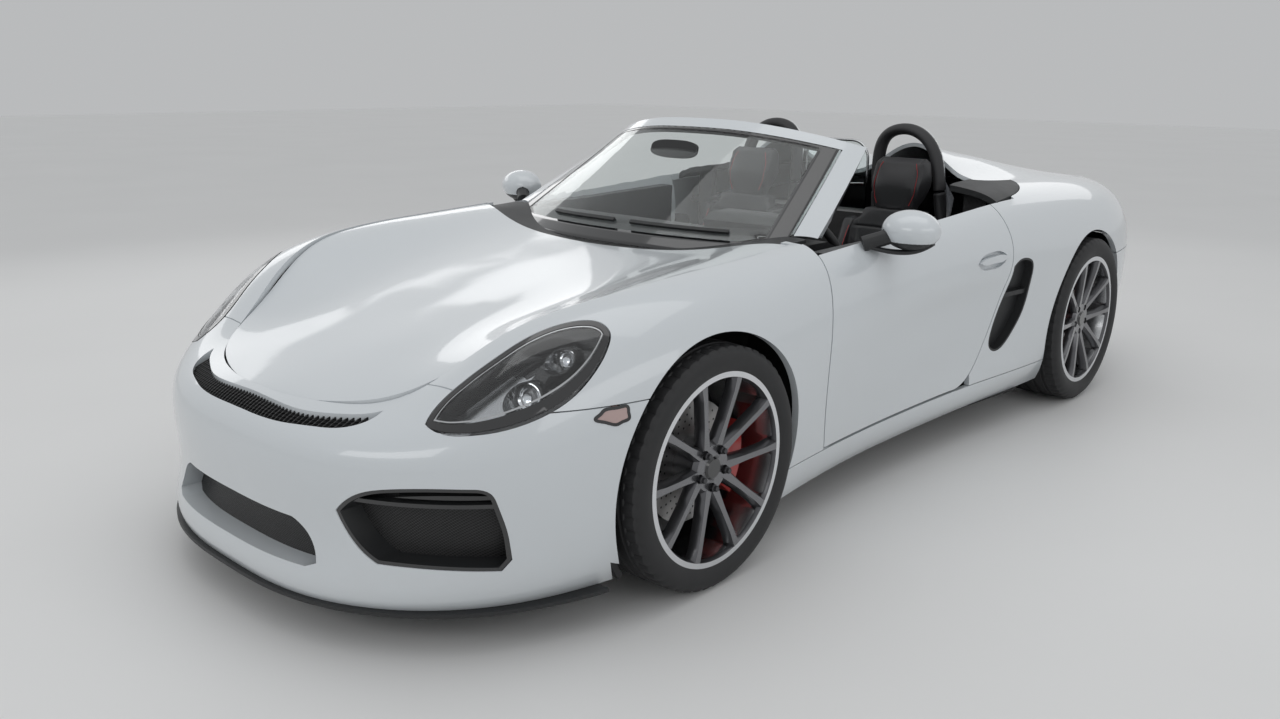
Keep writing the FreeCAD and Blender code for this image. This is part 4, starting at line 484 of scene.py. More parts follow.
def shaded(tree, colour, shade):
    """A colour made lighter or darker by a value about 1."""
    tint = wire(tree, "CombineColor", {"Red": shade, "Green": shade, "Blue": shade}).outputs[0]
    return blend_colour(tree, 1.0, colour, tint, "MULTIPLY")


def swing(tree, value, share):
    """A 0 to 1 value turned into a change about zero."""
    return maths(tree, "MULTIPLY", maths(tree, "SUBTRACT", value, 0.5), share)


def build_film(tree, given):
    """Thin dust: more of it low on the car, broken up by noise."""
    speckle = noise(tree, given["Scale"], 6.0)
    low = wire(tree, "MapRange", {"Value": axes(tree, place(tree))["Z"], "From Min": 0.5, "From Max": 0.1})
    mask = maths(tree, "MULTIPLY", speckle, maths(tree, "ADD", low.outputs[0], 0.25))
    mask = maths(tree, "MULTIPLY", mask, given["Amount"])
    colour = blend_colour(tree, mask, given["Colour"], given["Dust"])
    return colour, maths(tree, "ADD", given["Roughness"], maths(tree, "MULTIPLY", mask, 0.35))


def build_grain(tree, given):
    """Pebbled grain of moulded plastic or leather: cells at one scale, pores at a finer one."""
    cells = wire(tree, "TexVoronoi", {"Vector": place(tree), "Scale": given["Scale"]}, feature="SMOOTH_F1")
    pores = noise(tree, maths(tree, "MULTIPLY", given["Scale"], 2.7), 3.0)
    tall = maths(tree, "ADD", cells.outputs["Distance"], maths(tree, "MULTIPLY", pores, 0.5))
    patchy = swing(tree, noise(tree, 14.0, 4.0), given["Variation"])
    rough = maths(tree, "ADD", given["Roughness"], patchy)
    shade = maths(tree, "ADD", 1.0, maths(tree, "MULTIPLY", patchy, 1.6))
    return tall, rough, shaded(tree, given["Colour"], shade)


def build_brushed(tree, given):
    """Fine random scratches and cloudy change of gloss on metal."""
    cloudy = swing(tree, noise(tree, 22.0, 3.0), given["Variation"])
    rough = maths(tree, "ADD", given["Roughness"], cloudy)
    colour = shaded(tree, given["Colour"], maths(tree, "ADD", 1.0, cloudy))
    return noise(tree, given["Scale"], 5.0), rough, colour


def build_weave(tree, given):
    """Crossed wires at 45 degrees: 1 on a wire and 0 in a hole, from two sine waves over x + z and x - z."""
    parts = axes(tree, place(tree))
    level = maths(tree, "ADD", parts["Z"], maths(tree, "MULTIPLY", parts["Y"], 0.3))
    turns = maths(tree, "MULTIPLY", given["Pitch"], 1 / math.pi)
    waves = []
    for operation in ("ADD", "SUBTRACT"):
        across = maths(tree, "DIVIDE", maths(tree, operation, parts["X"], level), turns)
        waves.append(maths(tree, "ABSOLUTE", maths(tree, "SINE", across)))
    hole = wire(tree, "MapRange", {"Value": maths(tree, "MULTIPLY", *waves), "From Min": given["Wire"],
                                   "From Max": maths(tree, "ADD", given["Wire"], 0.18)})
    return [maths(tree, "SUBTRACT", 1.0, hole.outputs[0])]


def build_drilled(tree, given):
    """Rows of drilled holes on a brake disc: 0 in a hole, by angle and radius about the wheel centre."""
    pitch, in_a_row, hole_radius, swept = 0.016, 28, 0.0032, (0.095, 0.166)
    moved = wire(tree, "VectorMath", {0: place(tree), 1: given["Centre"]}, operation="SUBTRACT").outputs[0]
    parts = axes(tree, moved)
    radius = length(tree, parts["Y"], parts["Z"])
    angle = maths(tree, "ARCTAN2", parts["Z"], parts["Y"])
    row = maths(tree, "DIVIDE", radius, pitch)
    twist = maths(tree, "ADD", maths(tree, "MULTIPLY", angle, in_a_row / (2 * math.pi)),
                  maths(tree, "MULTIPLY", maths(tree, "FLOOR", row), 0.37))
    near_row = swing(tree, maths(tree, "FRACT", row), pitch)
    near_turn = swing(tree, maths(tree, "FRACT", twist), 2 * math.pi / in_a_row)
    near_side = maths(tree, "MULTIPLY", near_turn, radius)
    hole = maths(tree, "LESS_THAN", length(tree, near_row, near_side), hole_radius)
    rubbed = maths(tree, "MULTIPLY", maths(tree, "GREATER_THAN", radius, swept[0]),
                   maths(tree, "LESS_THAN", radius, swept[1]))
    ring = wire(tree, "CombineXYZ", {"X": radius}).outputs[0]
    rings = wire(tree, "TexNoise", {"Vector": ring, "Scale": 1500.0})
    return maths(tree, "SUBTRACT", 1.0, maths(tree, "MULTIPLY", hole, rubbed)), rings.outputs["Fac"]


def surface_group(name, build, scale, roughness, variation):
    """Node group of a surface: colour, scale, roughness and variation to height, roughness and colour."""
    inputs = {"Colour": (COLOUR, (0.5, 0.5, 0.5, 1)), "Scale": (FLOAT, scale),
              "Roughness": (FLOAT, roughness), "Variation": (FLOAT, variation)}
    return shader_group(name, inputs, {"Height": FLOAT, "Roughness": FLOAT, "Colour": COLOUR}, build)


film = shader_group(
    "road film", {"Colour": (COLOUR, (0.8, 0.8, 0.8, 1)), "Dust": (COLOUR, (0.45, 0.41, 0.36, 1)),
                  "Amount": (FLOAT, 0.1), "Roughness": (FLOAT, 0.2), "Scale": (FLOAT, 9.0)},
    {"Colour": COLOUR, "Roughness": FLOAT}, build_film)
grain = surface_group("pebble grain", build_grain, 900.0, 0.5, 0.12)
brushed = surface_group("worked metal", build_brushed, 700.0, 0.3, 0.15)
weave = shader_group("crossed wires", {"Pitch": (FLOAT, 0.008), "Wire": (FLOAT, 0.30)}, {"Mask": FLOAT},
                     build_weave)
drilled = shader_group("drilled disc", {"Centre": (VECTOR, (0, 0, 0))}, {"Mask": FLOAT, "Rings": FLOAT},
                       build_drilled)


def new_material(name):
    made = bpy.data.materials.new(name)
    made.use_nodes = True
    return made, made.node_tree, made.node_tree.nodes["Principled BSDF"]


def bump(tree, shader, tall, strength, distance, socket="Normal"):
    made = wire(tree, "Bump", {"Height": tall, "Strength": strength, "Distance": distance})
    feed(tree, shader, {socket: made.outputs["Normal"]})


def surfaced(name, group, given, extras, strength=0.0, depth=0.0):
    """Material with colour and roughness from a node group, extra inputs, and a bump by its height."""
    made, tree, shader = new_material(name)
    part = wire(tree, "Group", given, node_tree=group).outputs
    feed(tree, shader, {"Base Color": part["Colour"], "Roughness": part["Roughness"], **extras})
    if strength:
        bump(tree, shader, part["Height"], strength, depth)
    return made


def surface(colour, scale, roughness, variation):
    return {"Colour": (*colour, 1), "Scale": scale, "Roughness": roughness, "Variation": variation}


def paint(name, colour, amount=0.10):
    """Gloss body paint: film of dust, clear coat and a faint ripple of the lacquer."""
    made = surfaced(name, film, {"Colour": (*colour, 1), "Amount": amount, "Roughness": 0.28},
                    {"Coat Weight": 1.0, "Coat Roughness": 0.03, "Coat IOR": 1.5})
    tree = made.node_tree
    bump(tree, tree.nodes["Principled BSDF"], noise(tree, 230.0), 0.03, 0.001, "Coat Normal")
    return made


def grained(name, colour, roughness, scale, depth, variation=0.12, coat=0.0, sheen=0.0):
    return surfaced(name, grain, surface(colour, scale, roughness, variation),
                    {"Coat Weight": coat, "Sheen Weight": sheen}, 0.5, depth)


def metal(name, colour, roughness, metallic=1.0, coat=0.0, depth=0.00004):
    return surfaced(name, brushed, surface(colour, 700.0, roughness, 0.12),
                    {"Metallic": metallic, "Coat Weight": coat}, 0.25, depth)


def glass(name, colour):
    """Clear pane with a thin smear that keeps it from being perfect."""
    return surfaced(name, brushed, surface(colour, 40.0, 0.0, 0.03),
                    {"Transmission Weight": 1.0, "IOR": 1.45})


def disc_finish(name, centre):
    """Drilled brake disc about the given wheel centre; its holes are painted shade, near black."""
    made, tree, shader = new_material(name)
    part = wire(tree, "Group", {"Centre": centre}, node_tree=drilled).outputs
    lit = blend_colour(tree, part["Rings"], (0.30, 0.295, 0.29, 1), (0.48, 0.47, 0.46, 1))
    # holes painted near black: painted shade inside the drilled holes; the same mask also sets the metal and the
    # bump
    feed(tree, shader, {"Base Color": blend_colour(tree, part["Mask"], (0.01, 0.01, 0.01, 1), lit),
                        "Metallic": part["Mask"], "Roughness": 0.32})
    bump(tree, shader, part["Mask"], 0.8, 0.0015)
    return made


def woven_finish(name, pitch, wires, holes):
    """Wire mesh in front of a dark space, its holes painted near black as painted shade of that space."""
    made, tree, shader = new_material(name)
    mask = wire(tree, "Group", {"Pitch": pitch}, node_tree=weave).outputs["Mask"]
    # the hole colour is painted shade, near black, for the dark space behind the mesh
    feed(tree, shader, {"Base Color": blend_colour(tree, mask, holes, wires), "Roughness": 0.42})
    bump(tree, shader, mask, 1.0, 0.003)
    return made


def ribbed_lamp(name):
    """Red lamp lens whose level rib lines carry painted shade as darker red bands, a clear reversing strip below
    and a dark line between them.
    """
    made = grained(name, (0.30, 0.004, 0.006), 0.16, 220.0, 0.0005, 0.5, coat=1.0)
    tree = made.node_tree
    level = axes(tree, place(tree))["Z"]
    red = next(node for node in tree.nodes if node.type == "GROUP").outputs["Colour"]
    # painted shade: darker red bands about every 5 mm up the lens, for the shade in the troughs of its rib lines
    rib_shade = maths(tree, "ABSOLUTE", maths(tree, "SINE", maths(tree, "MULTIPLY", level, 620.0)))
    line = maths(tree, "LESS_THAN", maths(tree, "ABSOLUTE", maths(tree, "SUBTRACT", level, 0.657)), 0.0025)
    colour = blend_colour(tree, maths(tree, "MULTIPLY", rib_shade, 0.6), red, (0.10, 0.001, 0.002, 1))
    colour = blend_colour(tree, maths(tree, "LESS_THAN", level, 0.655), colour, (0.34, 0.10, 0.09, 1))
    colour = blend_colour(tree, line, colour, (0.01, 0.008, 0.008, 1))
    feed(tree, tree.nodes["Principled BSDF"], {"Base Color": colour})
    return made


white_paint = paint("white_gloss_paint", (0.63, 0.665, 0.69))
red_caliper = paint("red_caliper_paint", (0.52, 0.012, 0.012), 0.25)
moulded = grained("black_moulded_plastic", (0.018, 0.019, 0.020), 0.48, 1100.0, 0.00008)
gloss_black = grained("gloss_black", (0.008, 0.008, 0.009), 0.12, 300.0, 0.00001, 0.04, coat=1.0)
underbody = grained("underbody_black", (0.016, 0.016, 0.017), 0.75, 400.0, 0.0003)
carpet = grained("black_carpet", (0.014, 0.014, 0.015), 0.95, 1500.0, 0.0012, sheen=0.6)
leather = grained("black_leather", (0.020, 0.020, 0.022), 0.42, 750.0, 0.00015, 0.16)
stitched_pad = grained("padded_black", (0.024, 0.024, 0.026), 0.55, 900.0, 0.00012, 0.14)
red_belt = grained("red_webbing", (0.42, 0.012, 0.014), 0.6, 1600.0, 0.0002)
red_thread = grained("red_thread", (0.55, 0.015, 0.018), 0.55, 2500.0, 0.0001)
rubber = grained("tyre_rubber", (0.017, 0.017, 0.018), 0.62, 600.0, 0.00015, 0.18)
seam_rubber = grained("seal_rubber", (0.011, 0.011, 0.012), 0.55, 700.0, 0.00008)
grey_cloth = grained("grey_soft_lining", (0.105, 0.112, 0.125), 0.8, 1300.0, 0.0004, 0.14, sheen=0.3)
plate_face = grained("blank_plate", (0.62, 0.62, 0.60), 0.35, 500.0, 0.00005, 0.05, coat=0.6)
marker_face = grained("pale_marker_lens", (0.46, 0.33, 0.31), 0.14, 240.0, 0.0004, 0.2, coat=1.0)
tail_face = ribbed_lamp("red_lamp_lens")
charcoal = metal("charcoal_satin_alloy", (0.115, 0.115, 0.122), 0.30, 0.85, 0.4)
spoke_face = metal("spoke_face_alloy", (0.20, 0.20, 0.21), 0.22, 0.9, 0.6)
bright_alloy = metal("bright_alloy", (0.75, 0.76, 0.78), 0.10)
silver = metal("silver_satin_alloy", (0.55, 0.56, 0.57), 0.24, coat=0.3)
dark_metal = metal("dark_metal", (0.10, 0.10, 0.105), 0.45)
steel = metal("exhaust_steel", (0.52, 0.51, 0.50), 0.22)
chrome = metal("chromed_plastic", (0.86, 0.87, 0.88), 0.07, depth=0.00001)
mirror_face = metal("mirror_glass", (0.80, 0.82, 0.84), 0.02, depth=0.000001)
screen_glass = glass("screen_glass", (0.90, 0.95, 0.94))
lens_clear = glass("lens_clear", (0.96, 0.97, 0.98))
# last colour: painted shade in the mesh holes, near black
grille_mesh = woven_finish("black_wire_mesh", 0.0075, (0.035, 0.035, 0.036, 1), (0.0015, 0.0015, 0.0015, 1))


# ------------------------------------------------------- dressed CAD pieces

def merged_copy(node, name):
    """Copy of a CAD node's mesh with its loose triangles merged, smooth, and sharp at steep edges."""
    mesh = frame["nodes"][node].data.copy()
    mesh.name = name
    if "custom_normal" in mesh.attributes:
        mesh.attributes.remove(mesh.attributes["custom_normal"])
    work = bmesh.new()
    work.from_mesh(mesh)
    bmesh.ops.remove_doubles(work, verts=work.verts, dist=2e-5)
    work.to_mesh(mesh)
    work.free()
    mesh.shade_smooth()
    sharpen(mesh, 32)
    return in_scene(name, mesh)


def corner_normals(mesh):
    return read(mesh.corner_normals, "vector").astype(float)


def evaluated(piece):
    """The piece with its modifiers in effect."""
    return piece.evaluated_get(bpy.context.evaluated_depsgraph_get())


def take_form(piece, form):
    """Gives the corners that lie on a smooth form the form's own normals, so reflections show no facets."""
    mesh = piece.data
    own = corner_normals(mesh)
    pull = piece.modifiers.new("near", "SHRINKWRAP")
    pull.target = form
    share = piece.modifiers.new("normals", "DATA_TRANSFER")
    share.object = form
    share.use_loop_data = True
    share.data_types_loops = {"CUSTOM_NORMAL"}
    share.loop_mapping = "POLYINTERP_NEAREST"
    shaped = evaluated(piece)
    given = corner_normals(shaped.data)
    near = positions(shaped.data)
    piece.modifiers.clear()
    flat = np.repeat(read(mesh.polygons, "normal"), read(mesh.polygons, "loop_total", 1, np.int32), axis=0)
    corner_point = read(mesh.loops, "vertex_index", 1, np.int32)
    away = np.linalg.norm(near - positions(mesh), axis=1)[corner_point]
    on_form = ((flat * given).sum(1) > 0.86) & (away < 0.0015)
    mesh.normals_split_custom_set(np.where(on_form[:, None], given, own).tolist())


def dress(node, material, form):
    """A merged copy of a CAD node with its finish, shown in the node's place."""
    piece = merged_copy(node, node + "_skin")
    if form is not None:
        take_form(piece, form)
    piece.data.materials.clear()
    piece.data.materials.append(material)
    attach(piece, frame["nodes"][node]["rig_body"])
    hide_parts(node)


front_form = form_object("front_form", ring_net((-1, section_shares[:0:-1]), (1, section_shares)), 420, 90)
rear_form = form_object("rear_form", ring_net((1, section_shares[:-1]), (-1, section_shares[::-1])), 420, 90)
bonnet_form = form_object("bonnet_form", height_net(bonnet_heights, 0.0725, 1.2956), 120, 120)
lid_form = form_object("lid_form", height_net(lid_heights, 1.7200, 2.9536), 120, 160)

for material, form, nodes in (
        (white_paint, bonnet_form, "bonnet"),
        (white_paint, lid_form, "rear_lid"),
        (white_paint, front_form,
         "front_bumper front_fender_left front_fender_right door_left door_right side_skirts"),
        (white_paint, rear_form, "rear_quarter_left rear_quarter_right rear_bumper rear_spoiler"),
        (white_paint, None, "windscreen_frame mirror_left mirror_right"),
        (screen_glass, None, "windscreen"),
        (moulded, None, "cowl wipers"),
        (grille_mesh, None, "front_grilles"),
        (moulded, None, "front_splitter side_intakes"),
        (gloss_black, None, "headlamp_housings"),
        (lens_clear, None, "headlamp_lenses"),
        (marker_face, None, "front_marker_lamps"),
        (tail_face, None, "tail_lamps"),
        (moulded, None, "rear_diffuser"),
        (steel, None, "exhaust"),
        (stitched_pad, None, "roll_hoops"),
        (screen_glass, None, "wind_deflector"),
        (moulded, None, "quarter_trims"),
        (leather, None, "dashboard centre_console door_lining_left door_lining_right seat_left seat_right"),
        (stitched_pad, None, "steering_wheel"),
        (underbody, None, "tub front_frame rear_frame"),
        (gloss_black, None, "intake_inserts"),
        (dark_metal, None, "powertrain front_suspension rear_suspension"),
        (red_caliper, None, "calipers_rear caliper_front_left caliper_front_right"),
        (dark_metal, None, "knuckle_front_left knuckle_front_right"),
        (rubber, None, "tyre_front_left tyre_front_right tyre_rear_left tyre_rear_right"),
        (charcoal, None, "rim_front_left rim_front_right rim_rear_left rim_rear_right")):
    for node in nodes.split():
        dress(node, material, form)


# ------------------------------------------------------------------- wheels

def wheel_finishes(node, centre, disc):
    """Finishes of one wheel by the distance from its axis: barrel and rim edge, spokes, cap, disc."""
    piece, centres, normals = skin(node)
    outward = 1 if centre[0] > 0 else -1
    depth = (centres[:, 0] - centre[0]) * outward
    radius = np.hypot(centres[:, 1] - centre[1], centres[:, 2] - centre[2])
    facing = normals[:, 0] * outward
    barrel, rim_edge, edge_depth, spoke_foot, cap, disc_edge = 0.236, 0.252, 0.075, 0.036, 0.0335, 0.172
    refinish(piece, silver, (radius > barrel) & (depth < edge_depth))
    refinish(piece, bright_alloy, (radius > rim_edge) & (depth > edge_depth) & (facing > 0.15))
    spokes = (radius > spoke_foot) & (radius < rim_edge)
    refinish(piece, spoke_face, spokes & (facing > 0.80) & (depth > 0.030))
    refinish(piece, gloss_black, (radius < cap) & (depth > 0.055))
    refinish(piece, disc, (radius < disc_edge) & (depth > -0.027) & (depth < 0.0065) & (np.abs(facing) > 0.5))


def tyre(name, node, centre, size):
    """Tyre with four round grooves and notched shoulders: profile radius less groove and notch depth."""
    outer, half = size[0], size[1] / 2
    bead, wall, blocks, deep = 0.2600, 0.076, 4 * 54, 0.0045
    side = [(-0.74, 0.2600), (-0.90, 0.2640), (-0.965, 0.2760), (-0.995, 0.2920), (-1.0, 0.3020),
            (-0.985, 0.3130), (-0.950, 0.3220), (-0.900, 0.3280)]
    flank = [(a * half, bead + (r - bead) * (outer - bead) / wall) for a, r in side]
    tread = np.linspace(-0.86, 0.86, 73) * half
    crown = outer - 0.0045 * (tread / half) ** 2
    sunk = np.zeros(73)
    for groove in (-0.50, -0.17, 0.17, 0.50):
        sunk = np.maximum(sunk, 0.0065 * (np.abs(tread / half - groove) < 0.045))
    columns = np.array(flank + list(zip(tread, crown - sunk)) + [(-a, r) for a, r in flank[::-1]]
                       + [(0.70 * half, 0.2720), (-0.70 * half, 0.2720)])
    t = full_turn(blocks)[:, None]
    share = np.abs(columns[:, 0]) / half
    notched = (share > 0.60) & (share < 0.93) & (columns[:, 1] > 0.9 * outer)
    radius = columns[:, 1] - deep * (np.arange(blocks) % 4 == 0)[:, None] * notched
    points = np.stack([np.broadcast_to(centre[0] + columns[:, 0], radius.shape),
                       centre[1] + radius * np.cos(t), centre[2] + radius * np.sin(t)], 2)
    points[..., 2] = np.maximum(points[..., 2], 0.0005)
    piece = grid_piece(name, points, True, True, 35)
    piece.data.flip_normals()
    finish(piece, rubber, frame["nodes"][node]["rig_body"])
    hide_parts(node)
    bpy.data.objects.remove(bpy.data.objects[node + "_skin"])


def wheel_bolts(name, centre, body):
    """Five hexagonal bolt heads with round collars, in the pockets round the cap."""
    outward, circle = (1 if centre[0] > 0 else -1), 0.054
    pocket = centre[0] + outward * (half_width - 0.036 - abs(centre[0]))
    profile = [(-0.014, 0.0105), (-0.010, 0.0105), (-0.009, 0.0085), (-0.001, 0.0080), (0.0005, 0.0065),
               (0.0005, 1e-4)]
    a, r = np.array(profile).T[:, None, :]
    t = full_turn(6)[:, None]
    points, faces = [], []
    for i in range(5):
        angle = math.radians(36 + 72 * i)
        y, z = centre[1] + circle * math.sin(angle), centre[2] + circle * math.cos(angle)
        ring = np.stack([pocket + outward * a + 0 * t, y + r * np.cos(t) * outward, z + r * np.sin(t)], 2)
        faces.append(grid_faces(6, len(profile), True) + 6 * len(profile) * i)
        points.append(ring.reshape(-1, 3))
    return finish(new_piece(name, np.concatenate(points), np.concatenate(faces), False), dark_metal, body)


for end, x, y, size in (("front_", 0.763, axle_front, tyre_front), ("rear_", 0.770, axle_rear, tyre_rear)):
    for side, flip in sides:
        hub_spot, tag = (flip * x, y, size[0]), end + side
        wheel_finishes("rim_" + tag, hub_spot, disc_finish("drilled_disc_" + tag, hub_spot))
        tyre("tyre_" + tag + "_tread", "tyre_" + tag, hub_spot, size)
        wheel_bolts("wheel_bolts_" + tag, hub_spot, frame["nodes"]["rim_" + tag]["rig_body"])


# ------------------------------------------------------- windscreen and mirrors

screen_shares = [
    [(0.786, 1.236, 0.666), (0.735, 1.325, 0.765), (0.672, 1.405, 0.850), (0.628, 1.462, 0.922)],
    [(0.612, 1.212, 0.664), (0.565, 1.290, 0.776), (0.530, 1.362, 0.872), (0.500, 1.420, 0.955)],
    [(0.336, 1.178, 0.664), (0.315, 1.254, 0.784), (0.300, 1.325, 0.893), (0.290, 1.388, 0.984)],
    [(0.122, 1.170, 0.664), (0.118, 1.244, 0.788), (0.116, 1.314, 0.900), (0.114, 1.378, 0.991)]]
screen_net = np.array([[(x * half_width, along(s), z * height) for x, s, z in row] for row in screen_shares])
screen_net = np.concatenate([screen_net, screen_net[::-1] * (-1, 1, 1)])


def screen_border(name, side, top, bottom, depth, thick):
    """Printed border of the screen: faces of an offset surface S(u, v) - d n within a margin of the edges."""
    u = np.concatenate([np.linspace(0.036, side, 6), np.linspace(side, 1 - side, 61)[1:-1],
                        np.linspace(1 - side, 0.964, 6)])
    v = np.concatenate([np.linspace(0.012, bottom, 5), np.linspace(bottom, top, 25)[1:-1],
                        np.linspace(top, 0.910, 4)])
    uu, vv = np.meshgrid(u, v, indexing="ij")
    surface, normal = spline_points(screen_net, uu, vv), spline_normals(screen_net, uu, vv)
    layers = np.stack([surface - depth * normal, surface - (depth + thick) * normal])
    faces = grid_faces(len(u), len(v))
    i, j = faces[:, 0] // len(v), faces[:, 0] % len(v)
    front = faces[(i < 5) | (i >= len(u) - 6) | (j < 4) | (j >= len(v) - 4)]
    back = front[:, ::-1] + len(u) * len(v)
    edges = np.concatenate([front[:, [a, (a + 1) % 4]] for a in range(4)])
    index, seen = np.unique(np.sort(edges, 1), axis=0, return_index=True, return_counts=True)[1:]
    rim = edges[index[seen == 1]]
    wall = np.concatenate([rim[:, ::-1], rim + len(u) * len(v)], 1)
    return new_piece(name, layers.reshape(-1, 3), np.concatenate([front, back, wall]))


finish(screen_border("screen_black_border", 0.068, 0.885, 0.10, 0.0001, 0.0004), gloss_black)
finish(plate("inner_mirror", (0, along(1.322), 0.905 * height), (1, 0, 0), (0, 0.25, 1), (0.105, 0.032),
             -0.016, 3.0), moulded)
finish(plate("inner_mirror_glass", (0, along(1.322) + 0.0005, 0.905 * height), (-1, 0, 0), (0, 0.25, 1),
             (0.098, 0.026), 0.0015, 3.0), mirror_face)

mirror_y = along(1.356)
for side, flip in sides:
    head, centres, _ = skin("mirror_" + side)
    foot = np.array((flip * 0.872 * half_width, along(1.318), 0.840))
    arm = np.array((flip * 0.896, mirror_y, 0.8856)) - foot
    share = np.clip((centres - foot) @ arm / (arm @ arm), 0, 1)
    from_arm = np.linalg.norm(centres - foot - share[:, None] * arm, axis=1)
    refinish(head, moulded, (centres[:, 2] < 0.852) | (from_arm < 0.0262))
on_both_sides(plate("mirror_glass_left", (0.896, mirror_y + 0.0262, 0.738 * height), (-1, 0, 0), (0, 0, 1),
                    (0.080, 0.051), 0.0016, 2.4), mirror_face, "door_left")


# -------------------------------------------------------- lamps and front trim

lamp_way = unit((0.25, -1, 0.10))
for tag, spot, radius in (("1", (0.7069, -1.8185, 0.6144), 0.035), ("2", (0.7204, -1.7075, 0.6864), 0.027)):
    bowl = [(-0.0392, 1e-4), (-0.0392, radius - 0.001), (-0.024, radius - 0.0006), (-0.023, radius - 0.003),
            (-0.032, radius - 0.008), (-0.037, radius * 0.45), (-0.0385, 1e-4)]
    on_both_sides(lathe("lamp_bowl_" + tag + "_left", bowl, spot, lamp_way), chrome)
    wide = radius - 0.0075
    r = np.linspace(1e-4, wide, 12)[::-1]
    dome = [(-0.0375, 1e-4), (-0.0355, wide), *zip(-0.0355 + 0.016 * np.sqrt(1 - (r / wide) ** 2), r)]
    on_both_sides(lathe("lamp_dome_" + tag + "_left", dome, spot, lamp_way), lens_clear)

bay, centres, normals = skin("headlamp_housings")
across = np.abs(centres[:, 0])
refinish(bay, silver, (centres[:, 2] < 0.640) & (centres[:, 1] < -1.60) & (normals[:, 2] > 0.55)
         & (across > 0.575) & (across < 0.66))

arch_turn = np.radians(np.linspace(-33, 14, 20))[:, None]
strip_x = np.array((0.786, 0.8150))
inner, outer = [
    np.stack(np.broadcast_arrays(strip_x, axle_front - r * np.cos(arch_turn),
                                 tyre_front[0] + r * np.sin(arch_turn)), 2) for r in (0.3745, 0.3905)]
loop = np.concatenate([inner, outer[:, ::-1]], 1)
caps = [np.repeat(end.mean(1, keepdims=True), 4, 1) for end in (loop[:1], loop[-1:])]
on_both_sides(grid_piece("arch_air_guide_left", np.concatenate([caps[0], loop, caps[1]]), round_columns=True,
                         sharp=40), seam_rubber)

inserts, _, normals = skin("intake_inserts")
refinish(inserts, moulded, normals[:, 1] > -0.35)
screen_frame, _, normals = skin("windscreen_frame")
refinish(screen_frame, moulded, (normals[:, 1] > 0.35) | (normals[:, 2] < -0.45))

headlamp_outline = [
    (0.622, 0.240), (0.609, 0.305), (0.629, 0.375), (0.662, 0.445), (0.694, 0.516), (0.735, 0.586),
    (0.782, 0.643), (0.816, 0.666), (0.846, 0.667), (0.863, 0.645), (0.876, 0.589), (0.873, 0.524),
    (0.853, 0.456), (0.820, 0.391), (0.777, 0.332), (0.727, 0.283), (0.672, 0.248)]
marker_outline = [(0.549, 0.4700), (0.564, 0.4782), (0.580, 0.4858), (0.610, 0.4860), (0.638, 0.4860),
                  (0.640, 0.4740), (0.639, 0.4622), (0.620, 0.4585), (0.600, 0.4552), (0.573, 0.4630)]
lamp_loop = closed_curve([(x * half_width, along(s)) for x, s in headlamp_outline], 150)
marker_loop = closed_curve([(along(s), z * height) for s, z in marker_outline], 90)
from_above, from_side = ((0, 0, -1), (0, 1, 2)), ((-1, 0, 0), (2, 0, 1))
for name, loop, insets, lift, thick, seen, material in (
        ("headlamp_black_border_left", lamp_loop, (0.0012, 0.0150), 0.0009, 0.0006, from_above, gloss_black),
        ("headlamp_bright_line_left", lamp_loop, (0.0176, 0.0200), 0.0009, 0.0005, from_above, silver),
        ("marker_lamp_frame_left", marker_loop, (-0.0045, 0.0030), 0.0002, 0.0008, from_side, gloss_black)):
    on_both_sides(outline_band(name, loop, insets, lift, thick, *seen), material)
blade_path = [(0.796, -0.498, 0.838), (0.832, -0.462, 0.822), (0.880, -0.420, 0.814), (0.935, -0.402, 0.824),
              (0.972, -0.398, 0.852)]
blade_radius = 0.011 + 0.003 * np.sin(np.linspace(0, math.pi, 40))
on_both_sides(tube("mirror_blade_left", smooth_path(blade_path, 40), blade_radius, 16, 0.6), moulded,
              "door_left")


# ------------------------------------------------------------------------ seats

def swell(piece, cap, pressure=4.0):
    """Blows a closed shell up as cloth under air pressure, with every point's way held to cap."""
    start = positions(piece.data)
    cloth = piece.modifiers.new("air", "CLOTH")
    cloth.settings.use_pressure = True
    cloth.settings.uniform_pressure_force = pressure
    cloth.settings.quality = 4
    cloth.settings.mass = 0.25
    cloth.settings.tension_stiffness = cloth.settings.compression_stiffness = 30
    cloth.settings.effector_weights.gravity = 0
    cloth.point_cache.frame_start, cloth.point_cache.frame_end = 1, 20
    for step in range(1, 21):
        bpy.context.scene.frame_set(step)
    way = positions(evaluated(piece).data) - start
    piece.modifiers.clear()
    bpy.context.scene.frame_set(1)
    far = np.linalg.norm(way, axis=1, keepdims=True)
    move_points(piece, start + way * np.minimum(1, cap / np.maximum(far, 1e-9)))


def applied(piece, kind, **settings):
    """Adds a modifier and applies it to the mesh."""
    made = piece.modifiers.new(kind, kind)
    for key, value in settings.items():
        setattr(made, key, value)
    mesh = bpy.data.meshes.new_from_object(evaluated(piece))
    piece.modifiers.clear()
    old, piece.data = piece.data, mesh
    bpy.data.meshes.remove(old)
    mesh.name = piece.name


def seat_seams(points, normals):
    """Depth of seams: where pad meets bolsters, across the pad, along the bolsters and on the headrest."""
    x = np.abs(np.abs(points[:, 0]) - seat_x)
    y, z = points[:, 1], points[:, 2]
    low_back = z < 0.835
    seam = 0.007 * np.exp(-((x - 0.150) / 0.0045) ** 2) * low_back * (x > 0.1)
    outward = (normals[:, 2] > 0.1) | (normals[:, 1] < -0.2)
    seam += 0.004 * np.exp(-((x - 0.204) / 0.0035) ** 2) * low_back * outward
    inner = (x < 0.146) * low_back
    back = inner * (z > 0.42) * (normals[:, 1] < -0.3)
    base = inner * (z < 0.42) * (normals[:, 2] > 0.4)
    for where, level in ((back, z - 0.42), (base, y + 0.20)):
        seam += where * 0.004 * np.exp(-((level / 0.075 % 1 - 0.5) * 0.075 / 0.004) ** 2)
    return seam + 0.005 * np.exp(-((x - 0.088) / 0.0035) ** 2) * (~low_back) * (normals[:, 1] < -0.2)


